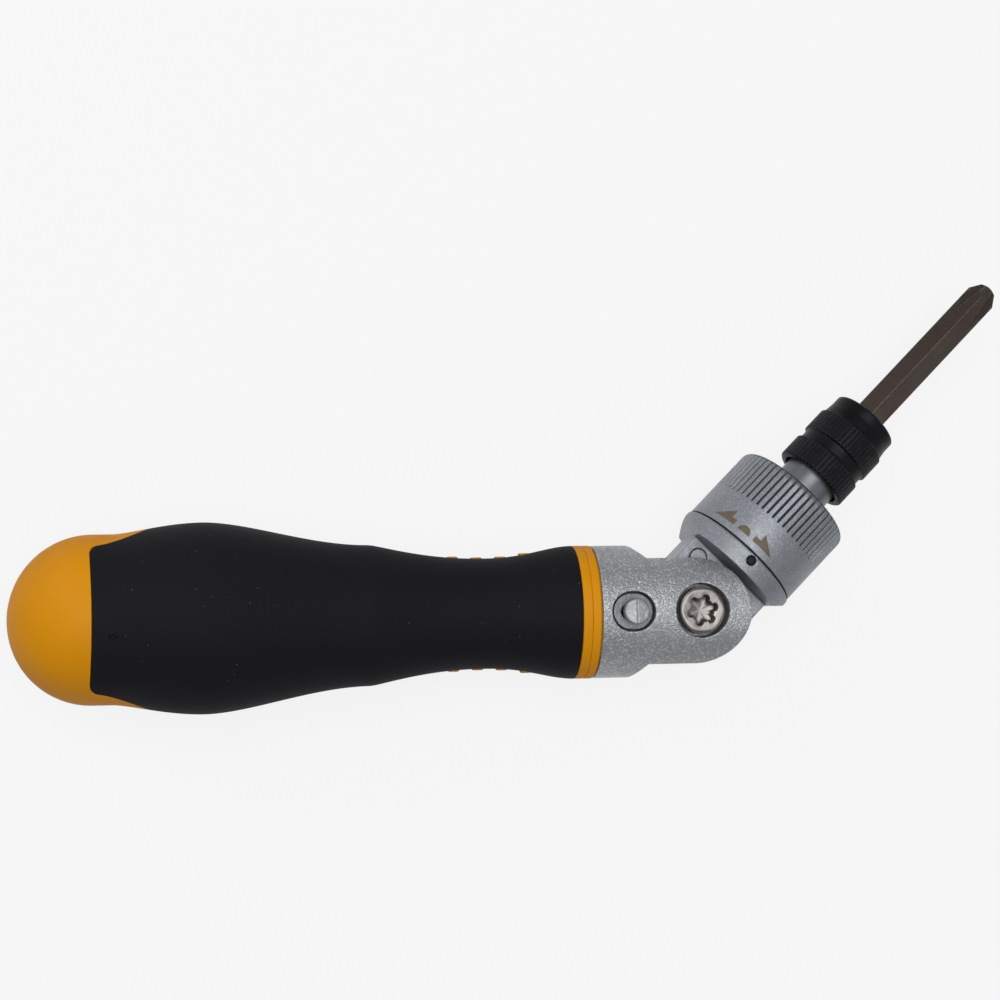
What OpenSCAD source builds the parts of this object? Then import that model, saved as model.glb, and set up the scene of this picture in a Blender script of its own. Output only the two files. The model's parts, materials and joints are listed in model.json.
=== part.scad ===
/* [Handle] */
// Length of the handle, from the dome's apex to the front of the front collar
handle_l = 113; // [108:0.1:124]
// Radius of the domed end and of the neck in front of it
dome_r = 16.4; // [15:0.1:17.5]
// Length of the domed end
dome_l = 16; // [14:0.1:17.5]
// Distance from the apex to where the neck starts to swell
neck_x = 20; // [18:0.1:23]
// Radius of the grip at its widest
bulge_r = 18.55; // [17.8:0.05:19.6]
// Distance from the apex to the widest place
bulge_x = 37.3; // [32:0.1:44]
// Radius of the grip at the ridge behind the waist
ridge_r = 13.8; // [12.8:0.1:15]
// Distance from the handle's front to the ridge
ridge_x = 43.7; // [38:0.1:50]
// Radius of the grip at its waist
waist_r = 10.9; // [10:0.1:12]
// Distance from the handle's front to the waist
waist_x = 21.9; // [18:0.1:26]
// How far the core's flange and the front collar stand proud of the yoke
collar_step = 0.05; // [0:0.05:0.5]
// Thickness of the core's front flange
flange_t = 1.9; // [1.2:0.1:2.5]
// Thickness of the front collar
collar_t = 1.6; // [0.8:0.1:2]

/* [Grip] */
// Thickness of the soft grip
grip_t = 2; // [1.2:0.1:2.6]
// Distance from the apex to the grip's rear edge
grip_x = 16.3; // [14:0.1:18]
// Half of the straight length of the grip's rear edge
grip_edge_half = 12.6; // [11:0.1:13.5]
// How far the rear edge bows forward at its middle
grip_bow = 0.8; // [0:0.1:1]
// Rounding of the rear edge's corners
grip_corner_r = 1.5; // [0.8:0.1:2.6]
// Distance from the apex to the tips of the side wings
wing_tip_x = 29.1; // [26:0.1:31]
// Number of pips in a row
pip_count = 4; // [1:1:6]
// Diameter of a pip
pip_d = 2.4; // [1.5:0.1:3]
// Distance from the handle's front to the last pip
pip_x = 13; // [10:0.1:16]
// Distance from pip to pip
pip_pitch = 4.8; // [4:0.1:5.5]
// How far the pips stand proud of the grip
pip_rise = 0.4; // [0.1:0.1:0.8]

/* [Yoke] */
// How far the head's base stands proud of the yoke
yoke_step = 0.15; // [0:0.05:0.5]
// Distance from the front collar to the pivot axis
yoke_l = 20.1; // [19.6:0.1:24]
// Half height of the cheeks, and radius of their round ends
cheek_r = 10.4; // [9.9:0.05:10.6]
// Distance from the pivot back to the middle of the cheeks' round ends
cheek_back = 0.6; // [0:0.1:1]
// Half width of the slot between the cheeks
slot_half = 5.25; // [4.8:0.05:6]
// Depth of the groove behind the yoke's collar
neck_groove_t = 0.55; // [0.3:0.05:1]
// Width of the groove behind the yoke's collar
neck_groove_l = 0.3; // [0.2:0.05:0.8]
// Radius of the tang in the handle
tang_r = 6; // [5:0.1:6.6]
// Length of the tang
tang_l = 40; // [30:1:50]
// Depth of the flats on the tang
tang_flat_t = 0.8; // [0.4:0.1:1.2]

/* [Pivot] */
// Diameter of the counterbores in the cheeks
counterbore_d = 10.6; // [9.8:0.1:11.6]
// Distance of the counterbores' floors from the middle plane
counterbore_z = 9; // [8.2:0.1:9.8]
// Diameter of the heads of the pivot screw and nut
pivot_head_d = 9.2; // [8.6:0.1:9.6]
// Height of the pivot screw's head
screw_head_h = 3.9; // [3:0.1:4.2]
// Height of the pivot nut's head
nut_head_h = 3; // [2:0.1:3.8]
// Diameter of the nut's barrel, on which the head turns
barrel_d = 7; // [6.4:0.1:7.6]
// Diameter of the screw's shank
shank_d = 4; // [3:0.1:4.6]
// Distance across the six-lobe recess
lobe_span = 6.1; // [5:0.1:6.6]
// Depth of the six-lobe recess
lobe_depth = 2.6; // [1:0.1:2.6]
// Diameter of the pivot washers
washer_d = 13; // [10:0.5:16]
// Thickness of a pivot washer
washer_t = 0.2; // [0.1:0.05:0.3]

/* [Lock] */
// Diameter of the lock button
button_d = 6.2; // [5.6:0.1:6.6]
// Distance of the button's ridge from the middle plane
button_top = 14.5; // [13.8:0.1:15.5]
// Distance of the button's axis behind the pivot
button_x = 13.3; // [13:0.1:13.8]
// Width of the button's recess
recess_w = 7.7; // [7.2:0.1:8.4]
// Distance of the recess floor from the middle plane
recess_z = 12.1; // [11.6:0.1:12.4]
// Diameter of the button's stem
stem_d = 2.4; // [1.8:0.1:2.8]
// Width of the lock bolt
bolt_w = 6; // [5:0.1:7]
// Height of the lock bolt
bolt_h = 7.2; // [6:0.1:8]
// Length of the lock bolt without its nose
bolt_l = 6; // [5.4:0.1:6.4]
// Width of the bolt's nose where it meets the bolt
nose_w = 2.6; // [2:0.1:3]
// Length of the bolt's nose
nose_l = 0.9; // [0.7:0.05:1.1]
// How far the bolt moves forward into a notch
lock_seat = 0.65; // [0.4:0.05:0.7]
// How far the bolt moves back from where it clears the rim
lock_back = 1.2; // [0.6:0.1:1.4]
// Angle from notch to notch
notch_pitch = 22.5; // [15:7.5:45]
// Mean radius of the lock spring
lock_spring_r = 1.5; // [1.2:0.1:1.6]
// Wire diameter of the lock spring
lock_wire_d = 0.5; // [0.3:0.05:0.6]
// Length of the lock spring
lock_spring_l = 7.6; // [6:0.1:10]

/* [Head] */
// Angle of the head to the handle
head_bend = 45; // [-90:22.5:90]
// Radius of the tongue's round end, and half of its width
tongue_r = 9.8; // [9.7:0.05:10.3]
// Half of the tongue's thickness
tongue_half = 5; // [4.5:0.05:5]
// How far the head's base stands proud of the selector ring
base_step = 0.25; // [0.1:0.05:0.5]
// Distance from the pivot to the base's rear face
base_u = 11; // [10.8:0.05:11.6]
// Length of the base
base_l = 4.05; // [3.6:0.05:6]
// Length of the base's side that stays straight beside the bevels
base_straight = 0.9; // [0.6:0.05:2]
// Thickness of the hub's wall outside the pawls
hub_wall = 0.65; // [0.4:0.05:1]
// Length of the hub
hub_l = 8.5; // [8.2:0.1:9.4]
// Diameter of the index pin
index_d = 2; // [1.2:0.1:2.6]
// Depth of the index pin's hole
index_depth = 1.6; // [1:0.1:2]
// Distance from the base's front face to the index pin's axis
index_back = 1.4; // [1.3:0.1:2]
// Turn of the index pin about the head's axis
index_turn = 90.8; // [80:0.1:100]

/* [Selector] */
// Thickness of the selector ring's wall
ring_wall = 1.75; // [1.2:0.05:2.2]
// Length of the ring's straight outside
ring_l = 15.4; // [14:0.1:16.5]
// Rounding of the ring's front edge
ring_round_r = 1.5; // [1:0.1:2.6]
// Rise of the ring's front face towards its middle
ring_crown = 0.4; // [0:0.1:1]
// Thickness of the pocketed wall behind the ring's front
web_t = 2; // [1.8:0.1:2.6]
// Number of flutes round the ring
flute_count = 60; // [36:1:66]
// Width of a flute
flute_w = 0.5; // [0.4:0.02:0.7]
// Distance from the ring's rear face to the flutes
flute_u = 7.6; // [6.5:0.1:9]
// Angle from one direction mark to the next
mark_pitch = 22; // [18:0.5:24]
// Height of the direction marks along the ring
mark_h = 2.7; // [2:0.1:3.2]
// Distance from the ring's rear face to the marks
mark_u = 1.5; // [1:0.1:2.5]
// Depth of the paint in the marks
mark_t = 0.2; // [0.1:0.05:0.3]
// Diameter of the detent ball
detent_d = 2; // [1.6:0.1:2.2]
// How far the detent ball drops into a pocket
detent_drop = 0.3; // [0.1:0.05:0.4]
// Diameter of the stop pin
stop_d = 1.6; // [1.2:0.1:1.8]

/* [Ratchet] */
// Number of teeth on the ratchet gear
gear_teeth = 24; // [12:12:24]
// Outer radius of the ratchet gear
gear_r = 6.5; // [6.2:0.05:6.7]
// Depth of the gear's teeth
tooth_depth = 0.9; // [0.6:0.05:1]
// Width of the space between two teeth
tooth_gap = 0.9; // [0.7:0.05:1]
// Length of the ratchet gear
gear_l = 4.9; // [4:0.1:5.2]
// Width of a pawl
pawl_w = 4; // [3:0.1:4.4]
// Length of a pawl without its tooth
pawl_l = 2.4; // [2:0.1:2.6]
// Thickness of a pawl along the head's axis
pawl_t = 4.2; // [3:0.1:4.4]
// How far the selector lifts a pawl
pawl_lift = 1.1; // [1:0.05:1.2]
// Diameter of the follower on a pawl
follower_d = 1.4; // [1:0.1:1.5]
// Radius of the gear's chamber, and outer radius of the front bush
bush_r = 7; // [6.8:0.05:7.2]
// Radius of the bush's front flange
bush_flange_r = 8.3; // [7.8:0.05:8.6]
// Thickness of the bush's front flange
bush_flange_t = 1.3; // [0.8:0.1:1.4]
// Thickness of the thrust washer
thrust_t = 0.7; // [0.4:0.1:1]

/* [Spindle and chuck] */
// Radius of the spindle in its bush
journal_r = 5.8; // [5.5:0.05:6]
// Radius of the spindle's tail
tail_r = 3; // [2.5:0.1:3.4]
// Length of the spindle's tail
tail_l = 3; // [2:0.1:3.2]
// Radius of the gear's seat on the spindle
seat_r = 4.5; // [4:0.05:4.7]
// Radius of the spindle's nose
nose_r = 5; // [4.8:0.05:5.2]
// Distance from the bush to the sleeve's rear rim
spindle_show = 4.4; // [3.3:0.1:5.4]
// Depth of the sleeve's rear rim past the spindle's shoulder
rim_depth = 1.5; // [0.8:0.1:2]
// Length of the chuck sleeve
sleeve_l = 17; // [16.5:0.1:19]
// Radius of the sleeve's rear ribs
rear_rib_r = 7.85; // [7.4:0.05:8]
// Radius of the sleeve's front ribs
front_rib_r = 7.85; // [7.5:0.05:8.2]
// Radius of the groove between the ribs
sleeve_groove_r = 7.3; // [7:0.05:7.4]
// Radius of the sleeve's front end
sleeve_front_r = 7.15; // [6.8:0.05:7.4]
// Length of the sleeve's rear ribs
rear_rib_l = 5.2; // [4:0.1:6]
// Length of the groove between the ribs
sleeve_groove_l = 2; // [1.5:0.1:2.5]
// Length of the sleeve's front ribs
front_rib_l = 5.3; // [4:0.1:6]
// Number of ribs round the sleeve
rib_count = 50; // [24:1:60]
// Width of the groove between two ribs
rib_groove_w = 0.5; // [0.3:0.02:0.7]
// Radius of the spring chamber in the sleeve
sleeve_chamber_r = 6.5; // [6.3:0.05:6.7]
// How far the sleeve pulls back
sleeve_travel = 2.5; // [1.5:0.1:2.7]
// Mean radius of the chuck spring
chuck_spring_r = 5.75; // [5.6:0.05:5.9]
// Wire diameter of the chuck spring
chuck_wire_d = 0.7; // [0.5:0.05:0.8]
// Diameter of the chuck ball
ball_d = 2.4; // [2:0.1:2.6]
// Distance from the sleeve's rear rim to the chuck ball
ball_u = 10; // [9.6:0.1:10.4]
// Depth of the circlip's groove
circlip_depth = 0.5; // [0.3:0.05:0.7]
// Thickness of the circlip
circlip_t = 0.7; // [0.5:0.05:0.9]
// Radius of the magnet in the socket
magnet_r = 2.5; // [2:0.1:2.8]
// Thickness of the magnet
magnet_t = 2.3; // [1.5:0.1:2.4]

/* [Bit] */
// Distance across the bit's flats
bit_af = 6.35; // [5.5:0.05:6.35]
// Length of the bit
bit_l = 50.8; // [40:0.2:60]
// Length of the bit's tapered tip
tip_l = 3.6; // [2:0.1:5]
// Radius of the bit's blunt nose
tip_r = 1.9; // [1:0.1:2.4]
// Width of the flutes of the cross tip
tip_flute_d = 1.6; // [1.2:0.1:2.4]
// Turn of the bit about the head's axis
bit_turn = 80; // [0:5:115]

/* [Clearances] */
// Radial clearance of a turning or sliding fit
run_gap = 0.05; // [0.02:0.01:0.1]
// Clearance between faces that pass each other
pass_gap = 0.15; // [0.1:0.01:0.3]
// Clearance of the bit in its socket, on each flat
bit_gap = 0.05; // [0.02:0.01:0.1]
// Gap at the border between the core and the grip
seam_gap = 0.1; // [0.05:0.01:0.2]
// Clearance between the head and the yoke at full bend
bend_gap = 0.25; // [0.2:0.05:0.4]

/* [Hidden] */
$fn = 48;

// Every cut runs past its faces by this much
overrun = 1;

// Colours of the finishes
yellow = "#d09a20";
black = "#1c1b21";
zinc = "#96989b";
steel = "#8c8e90";
dark_steel = "#3a3a3e";
chuck_black = "#15141a";
bronze = "#4a423c";
spring_steel = "#a8acb0";
brass_tone = "#b08a48";
paint = "#6a5a48";

// Radii from the ratchet outwards: each piece is as large as what it holds or lines up with
pawl_end_r = gear_r + 2 * run_gap;
pawl_room_r = pawl_end_r + pawl_l + pawl_lift + 3 * pass_gap;
hub_r = pawl_room_r + hub_wall;
ring_r = hub_r + 2 * run_gap + ring_wall;
base_r = ring_r + base_step;
yoke_r = base_r - yoke_step;
collar_r = yoke_r + collar_step;

// Handle outline: how soon each stretch of the grip leaves its start
swell_ease_share = 0.75;
fall_ease_share = 0.9;
waist_ease_share = 0.62;
flare_ease_share = 1.35;
wing_curve_share = 1.3;
outline_steps = 8;
dome_steps = 14;
grip_end_x = handle_l - collar_t - flange_t;
pivot_x = handle_l + yoke_l;

// Yoke, from the pivot axis backwards
bevel_offset = base_u + base_l - base_straight - base_r;
step_offset = bevel_offset - bend_gap * sqrt(2);
web_x = tongue_r + 2 * pass_gap;
tang_x = pivot_x - yoke_l - tang_l;

// Lock, from the pivot axis backwards
nose_x = tongue_r + run_gap + pass_gap / 2;
bolt_x = nose_x + nose_l;
notch_depth = lock_seat + pass_gap;
notch_taper_share = 0.6;
recess_rear = button_x + button_d / 2 + lock_back + 2 * pass_gap;
recess_front = button_x - button_d / 2 - lock_seat - pass_gap;
channel_rear = bolt_x + bolt_l + lock_back + pass_gap;
spring_rear = bolt_x + bolt_l + lock_spring_l + 2 * run_gap;
notch_reach = floor(90 / notch_pitch);

// Head, from the pivot along the head's axis
seam_u = base_u + base_l;
hub_u = seam_u + hub_l;
chamber_u = seam_u - 2 * pass_gap;
gear_u = chamber_u + thrust_t + run_gap;
bush_u = gear_u + gear_l + run_gap;
tail_u = chamber_u - tail_l;
pawl_u = gear_u + (gear_l - pawl_t) / 2;
pawl_tip_r = gear_r - tooth_depth + run_gap;
follower_r = pawl_end_r + pawl_l / 2 + follower_d / 4;
selector_swing = 2 * mark_pitch;
forward_turn = 30;
reverse_turn = 120;
stop_turn = 210;
detent_turn = 300;
slot_spare_turn = 2;
carrier_r = (bush_r + hub_r) / 2;
detent_spring_l = 2.6;
detent_spring_r = 0.6;
pawl_spring_r = 0.6;
pawl_pocket_r = 0.95;
pawl_pocket_depth = 1.3;
fine_wire_d = 0.24;

// Selector ring, from the pivot along the head's axis
ring_u = seam_u + pass_gap;
web_u = hub_u + pass_gap;
ring_face_u = ring_u + ring_l + ring_round_r;
flange_u = ring_face_u + ring_crown - bush_flange_t + pass_gap;
bush_end_u = flange_u + bush_flange_t;
bush_lip_w = 0.8;
bush_lip_depth = 0.8;
bush_lip_r = journal_r + bush_lip_w;

// Spindle and chuck, from the pivot along the head's axis
sleeve_u = bush_end_u + spindle_show;
shoulder_u = sleeve_u + rim_depth;
ball_at = sleeve_u + ball_u;
sleeve_end_u = sleeve_u + sleeve_l;
nose_inset = 0.6;
nose_u = sleeve_end_u - nose_inset;
circlip_inset = 1.7;
circlip_u = sleeve_end_u - circlip_inset - circlip_t;
circlip_rise = 0.9;
circlip_r = nose_r + circlip_rise;
land_l = 1.2;
magnet_inset = 1.05;
magnet_u = shoulder_u + magnet_inset;
bit_u = magnet_u + magnet_t + run_gap;
bit_end_u = bit_u + bit_l;
ball_r = ball_d / 2;
ball_centre_r = bit_af / 2 + ball_r + run_gap;
cone_slope = 0.2;
cone_start_u = ball_at - ball_r;
cone_end_u = ball_at + sleeve_travel + ball_r + pass_gap;
spring_step_u = cone_start_u - land_l;
chuck_spring_l = spring_step_u - shoulder_u;
ball_turn = bit_turn + 210;

// Shapes shared by several pieces

// Turns an upright shape so that it lies along the handle or the head's axis
module along() {
    rotate([90, 0, 90]) children();
}

// Places a shape in the head, with the pivot at its origin
module in_head() {
    translate([pivot_x, 0, 0]) rotate([0, 0, head_bend]) children();
}

// Places an upright shape on the head's axis at a distance from the pivot
module on_axis(u) {
    in_head() translate([u, 0, 0]) along() children();
}

module ring(r_out, r_in, h) {
    difference() {
        cylinder(r = r_out, h = h);
        translate([0, 0, -overrun]) cylinder(r = r_in, h = h + 2 * overrun);
    }
}

// A tube wound on a helix, with six sides and eight rings to a turn
function coil_point(r, l, turns, t) = [r * cos(360 * turns * t), r * sin(360 * turns * t), l * t];
function coil_ring(r, l, turns, wire_r, t, sides) = [
    for (k = [0 : sides - 1])
        let (a = 360 * turns * t, b = 360 * k / sides, c = r + wire_r * cos(b))
        [c * cos(a), c * sin(a), l * t + wire_r * sin(b)]
];
// Least distance between the wire's surfaces, one turn apart, on the coil's own points
function coil_gap(r, l, turns, wire_d, steps) = min([
    for (i = [0 : steps - round(steps / turns)])
        let (next = coil_point(r, l, turns, (i + steps / turns) / steps))
        norm(next - coil_point(r, l, turns, i / steps)) - wire_d
]);
module coil(r, length, turns, wire_d) {
    sides = 6;
    steps = round(8 * turns);
    l = length - wire_d;
    points = [for (i = [0 : steps]) each coil_ring(r, l, turns, wire_d / 2, i / steps, sides)];
    walls = [
        for (i = [0 : steps - 1], k = [0 : sides - 1])
            let (a = i * sides + k, b = i * sides + (k + 1) % sides)
            each [[a, b + sides, a + sides], [a, b, b + sides]]
    ];
    start = [for (k = [1 : sides - 2]) [0, k + 1, k]];
    last = steps * sides;
    end = [for (k = [1 : sides - 2]) [last, last + k, last + k + 1]];
    translate([0, 0, wire_d / 2]) polyhedron(points, concat(walls, start, end));
}

// Handle

function ease(t) = t * t * (3 - 2 * t);
// Points of one stretch of the handle's outline, without its first point
function stretch(x0, r0, x1, r1, share) = [
    for (i = [1 : outline_steps])
        let (t = i / outline_steps)
        [r0 + (r1 - r0) * ease(pow(t, share)), x0 + (x1 - x0) * t]
];
// Outline of the handle from the apex to the end of the grip, with its skin taken off
function handle_outline(skin) = concat(
    [[0, skin]],
    [
        for (i = [1 : dome_steps])
            let (a = 90 * i / dome_steps)
            [(dome_r - skin) * sin(a), dome_l - (dome_l - skin) * cos(a)]
    ],
    [[dome_r - skin, neck_x]],
    stretch(neck_x, dome_r - skin, bulge_x, bulge_r - skin, swell_ease_share),
    stretch(bulge_x, bulge_r - skin, handle_l - ridge_x, ridge_r - skin, fall_ease_share),
    stretch(handle_l - ridge_x, ridge_r - skin, handle_l - waist_x, waist_r - skin, waist_ease_share),
    stretch(handle_l - waist_x, waist_r - skin, grip_end_x, collar_r - skin, flare_ease_share),
    [[0, grip_end_x]]
);
module handle_form(skin) {
    along() rotate_extrude() polygon(handle_outline(skin));
}

// Half of the grip's border, seen from the side, grown by a gap
function border_half(gap) = concat(
    [
        for (i = [0 : outline_steps])
            let (t = i / outline_steps)
            [grip_x - gap + grip_bow * (1 - t * t), t * grip_edge_half]
    ],
    [
        for (i = [1 : 4])
            let (a = 90 * i / 4, r = grip_corner_r + gap)
            [grip_x + grip_corner_r - r * cos(a), grip_edge_half + r * sin(a)]
    ],
    [
        for (i = [1 : outline_steps])
            let (
                t = i / outline_steps,
                x0 = grip_x + grip_corner_r,
                y0 = grip_edge_half + grip_corner_r + gap,
                y1 = bulge_r + gap
            )
            [x0 + (wing_tip_x - x0) * t, y0 + (y1 - y0) * pow(t, wing_curve_share)]
    ],
    [[wing_tip_x, bulge_r + overrun], [handle_l, bulge_r + overrun]]
);
module grip_window(gap) {
    half = border_half(gap);
    mirrored = [for (i = [len(half) - 1 : -1 : 1]) [half[i].x, -half[i].y]];
    linear_extrude(height = 2 * (bulge_r + overrun), center = true) polygon(concat(half, mirrored));
}

// Round studs through the grip along its top and bottom, grown by a gap
module pip_rods(gap) {
    for (i = [0 : pip_count - 1])
        translate([handle_l - pip_x - i * pip_pitch, 0, 0])
            rotate([90, 0, 0])
                cylinder(d = pip_d + 2 * gap, h = 2 * bulge_r, center = true);
}

module tang_form(gap) {
    flat_half = tang_r - tang_flat_t + gap;
    intersection() {
        translate([tang_x - gap, 0, 0]) along() cylinder(r = tang_r + gap, h = tang_l + overrun);
        translate([tang_x - overrun, -2 * tang_r, -flat_half])
            cube([tang_l + 3 * overrun, 4 * tang_r, 2 * flat_half]);
    }
}

module handle_core() {
    color(yellow)
    difference() {
        union() {
            handle_form(grip_t);
            difference() {
                handle_form(0);
                grip_window(seam_gap);
            }
            intersection() {
                handle_form(-pip_rise);
                pip_rods(0);
            }
            translate([grip_end_x, 0, 0]) along() cylinder(r = collar_r, h = flange_t);
        }
        tang_form(run_gap);
    }
}

module grip_sleeve() {
    color(black)
    difference() {
        intersection() {
            handle_form(0);
            grip_window(0);
        }
        handle_form(grip_t);
        pip_rods(seam_gap);
    }
}

module front_collar() {
    color(yellow)
    difference() {
        translate([handle_l - collar_t, 0, 0]) along() cylinder(r = collar_r, h = collar_t);
        tang_form(run_gap);
    }
}

// Yoke

// The yoke seen along the pivot axis
module yoke_outline() {
    rear = neck_groove_l - yoke_l;
    reach = yoke_r + overrun;
    translate([-cheek_back, 0]) circle(r = cheek_r);
    polygon([
        [rear, -reach], [step_offset - reach, -reach], [step_offset - cheek_r, -cheek_r],
        [-cheek_back, -cheek_r], [-cheek_back, cheek_r],
        [step_offset - cheek_r, cheek_r], [step_offset - reach, reach], [rear, reach]
    ]);
}

// Oblong upright cut between two distances behind the pivot
module oblong_cut(front, rear, w, z, h) {
    for (x = [front + w / 2, rear - w / 2])
        translate([pivot_x - x, 0, z]) cylinder(d = w, h = h);
    translate([pivot_x - rear + w / 2, -w / 2, z]) cube([rear - front - w, w, h]);
}

module yoke() {
    stem_slot_w = stem_d + 2 * pass_gap;
    spring_hole_r = lock_spring_r + lock_wire_d / 2 + pass_gap;
    color(zinc)
    difference() {
        union() {
            intersection() {
                translate([pivot_x - yoke_l, 0, 0]) along() cylinder(r = yoke_r, h = yoke_l + 2 * cheek_r);
                translate([pivot_x, 0, 0])
                    linear_extrude(height = 2 * (yoke_r + overrun), center = true) yoke_outline();
            }
            translate([handle_l, 0, 0]) along() cylinder(r = yoke_r - neck_groove_t, h = 2 * neck_groove_l);
            tang_form(0);
        }
        translate([pivot_x - web_x, -yoke_r - overrun, -slot_half])
            cube([2 * cheek_r + overrun, 2 * (yoke_r + overrun), 2 * slot_half]);
        translate([pivot_x, 0, -yoke_r]) cylinder(d = barrel_d + 2 * run_gap, h = 2 * yoke_r);
        translate([pivot_x, 0, counterbore_z]) cylinder(d = counterbore_d, h = yoke_r);
        translate([pivot_x, 0, -counterbore_z - yoke_r]) cylinder(d = counterbore_d, h = yoke_r);
        oblong_cut(recess_front, recess_rear, recess_w, recess_z, yoke_r);
        oblong_cut(
            button_x - lock_seat - stem_slot_w / 2, button_x + lock_back + stem_slot_w / 2,
            stem_slot_w, 0, recess_z + overrun
        );
        translate([pivot_x - channel_rear, -bolt_w / 2 - run_gap, -bolt_h / 2 - run_gap])
            cube([channel_rear - web_x + overrun, bolt_w + 2 * run_gap, bolt_h + 2 * run_gap]);
        translate([pivot_x - spring_rear, 0, 0])
            along() cylinder(r = spring_hole_r, h = spring_rear - channel_rear + overrun);
    }
}

// Pivot

module six_lobe(depth) {
    lobe_share = 0.125;
    lobe_turn = 14;
    lobe_r = lobe_span * lobe_share;
    cylinder(r = lobe_span / 2 - lobe_r, h = depth + overrun);
    for (i = [0 : 5])
        rotate([0, 0, lobe_turn + 60 * i]) translate([lobe_span / 2 - lobe_r, 0, 0])
            cylinder(r = lobe_r, h = depth + overrun);
}

// Round head with a soft rim and a six-lobe recess, standing on its seat
module pivot_head(h) {
    rim_share = 0.25;
    rim = h * rim_share;
    difference() {
        rotate_extrude()
            polygon(concat(
                [[0, 0], [pivot_head_d / 2, 0]],
                [
                    for (i = [0 : outline_steps])
                        let (a = 90 * i / outline_steps)
                        [pivot_head_d / 2 - rim + rim * cos(a), h - rim + rim * sin(a)]
                ],
                [[0, h]]
            ));
        translate([0, 0, h - lobe_depth]) six_lobe(lobe_depth);
    }
}

module pivot_screw() {
    shank_l = counterbore_z + tongue_half;
    color(steel)
    translate([pivot_x, 0, counterbore_z]) {
        pivot_head(screw_head_h);
        translate([0, 0, -shank_l]) cylinder(d = shank_d, h = shank_l);
    }
}

module pivot_nut() {
    barrel_l = 2 * counterbore_z - 2 * pass_gap;
    color(steel)
    translate([pivot_x, 0, -counterbore_z])
    difference() {
        union() {
            rotate([180, 0, 0]) pivot_head(nut_head_h);
            cylinder(d = barrel_d, h = barrel_l);
        }
        translate([0, 0, counterbore_z - tongue_half - run_gap])
            cylinder(d = shank_d + 2 * run_gap, h = barrel_l);
    }
}

module pivot_washers() {
    color(brass_tone)
    translate([pivot_x, 0, 0])
    for (z = [slot_half - washer_t, -slot_half])
        translate([0, 0, z]) ring(washer_d / 2, barrel_d / 2 + run_gap, washer_t);
}

// Lock

// Button with a roof-shaped top whose ridge lies across the handle
module lock_button() {
    r = button_d / 2;
    foot_z = recess_z + pass_gap;
    bevel = button_d / 12;
    stem_z = -bolt_h / 4;
    color(steel)
    translate([pivot_x - button_x, 0, 0]) {
        intersection() {
            rotate_extrude()
                polygon([
                    [0, foot_z], [r, foot_z], [r, button_top - 2 * bevel],
                    [r - bevel, button_top], [0, button_top]
                ]);
            rotate([90, 0, 0])
                linear_extrude(height = 2 * button_d, center = true)
                    polygon([[-button_d, 0], [button_d, 0], [button_d, button_top - 2 * bevel],
                             [0, button_top], [-button_d, button_top - 2 * bevel]]);
        }
        translate([0, 0, stem_z]) cylinder(d = stem_d, h = foot_z - stem_z);
    }
}

// The bolt's nose seen along the pivot axis, pointing at the pivot, grown by a gap
module nose_outline(w, tip_w, l) {
    polygon([[0, -w / 2], [l, -tip_w / 2], [l, tip_w / 2], [0, w / 2]]);
}

module lock_bolt() {
    stem_z = -bolt_h / 4 - run_gap;
    color(dark_steel)
    translate([pivot_x - bolt_x, 0, 0])
    difference() {
        union() {
            translate([-bolt_l, -bolt_w / 2, -bolt_h / 2]) cube([bolt_l, bolt_w, bolt_h]);
            linear_extrude(height = bolt_h, center = true)
                nose_outline(nose_w, nose_w * notch_taper_share, nose_l);
        }
        translate([bolt_x - button_x, 0, stem_z]) cylinder(d = stem_d + 2 * run_gap, h = bolt_h);
    }
}

module lock_spring() {
    turns = 7;
    l = lock_spring_l - lock_wire_d;
    echo(lock_spring_gap = coil_gap(lock_spring_r, l, turns, lock_wire_d, 8 * turns));
    color(spring_steel)
    translate([pivot_x - spring_rear + run_gap, 0, 0])
        along() coil(lock_spring_r, lock_spring_l, turns, lock_wire_d);
}

// Head

// Notches in the tongue's rim, at each place where the bolt can hold the head
module rim_notches() {
    mouth = notch_depth + overrun;
    flare = (1 - notch_taper_share) * nose_w / 2 / nose_l;
    tip_w = nose_w * notch_taper_share + 2 * pass_gap;
    for (i = [-notch_reach : notch_reach])
        rotate([0, 0, 180 + i * notch_pitch])
            translate([tongue_r + overrun, 0, 0]) rotate([0, 0, 180])
                linear_extrude(height = 2 * (tongue_half + overrun), center = true)
                    nose_outline(tip_w + 2 * flare * mouth, tip_w, mouth);
}

module head_tongue() {
    linear_extrude(height = 2 * tongue_half, center = true) {
        circle(r = tongue_r);
        translate([0, -tongue_r]) square([base_u + base_l / 2, 2 * tongue_r]);
    }
}

// Round base, bevelled where it meets the yoke's shoulders at full bend
module head_base() {
    reach = base_r + overrun;
    intersection() {
        translate([base_u, 0, 0]) along() cylinder(r = base_r, h = base_l);
        linear_extrude(height = 2 * reach, center = true)
            polygon([
                [base_u, bevel_offset - base_u], [reach + bevel_offset, -reach], [seam_u + overrun, -reach],
                [seam_u + overrun, reach], [reach + bevel_offset, reach], [base_u, base_u - bevel_offset]
            ]);
    }
}

module pawl_channel(turn) {
    w = pawl_w + 2 * run_gap;
    rotate([0, 0, turn]) translate([gear_r - tooth_depth, -w / 2, pawl_u - run_gap])
        cube([pawl_room_r - gear_r + tooth_depth, w, hub_u]);
}

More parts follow.
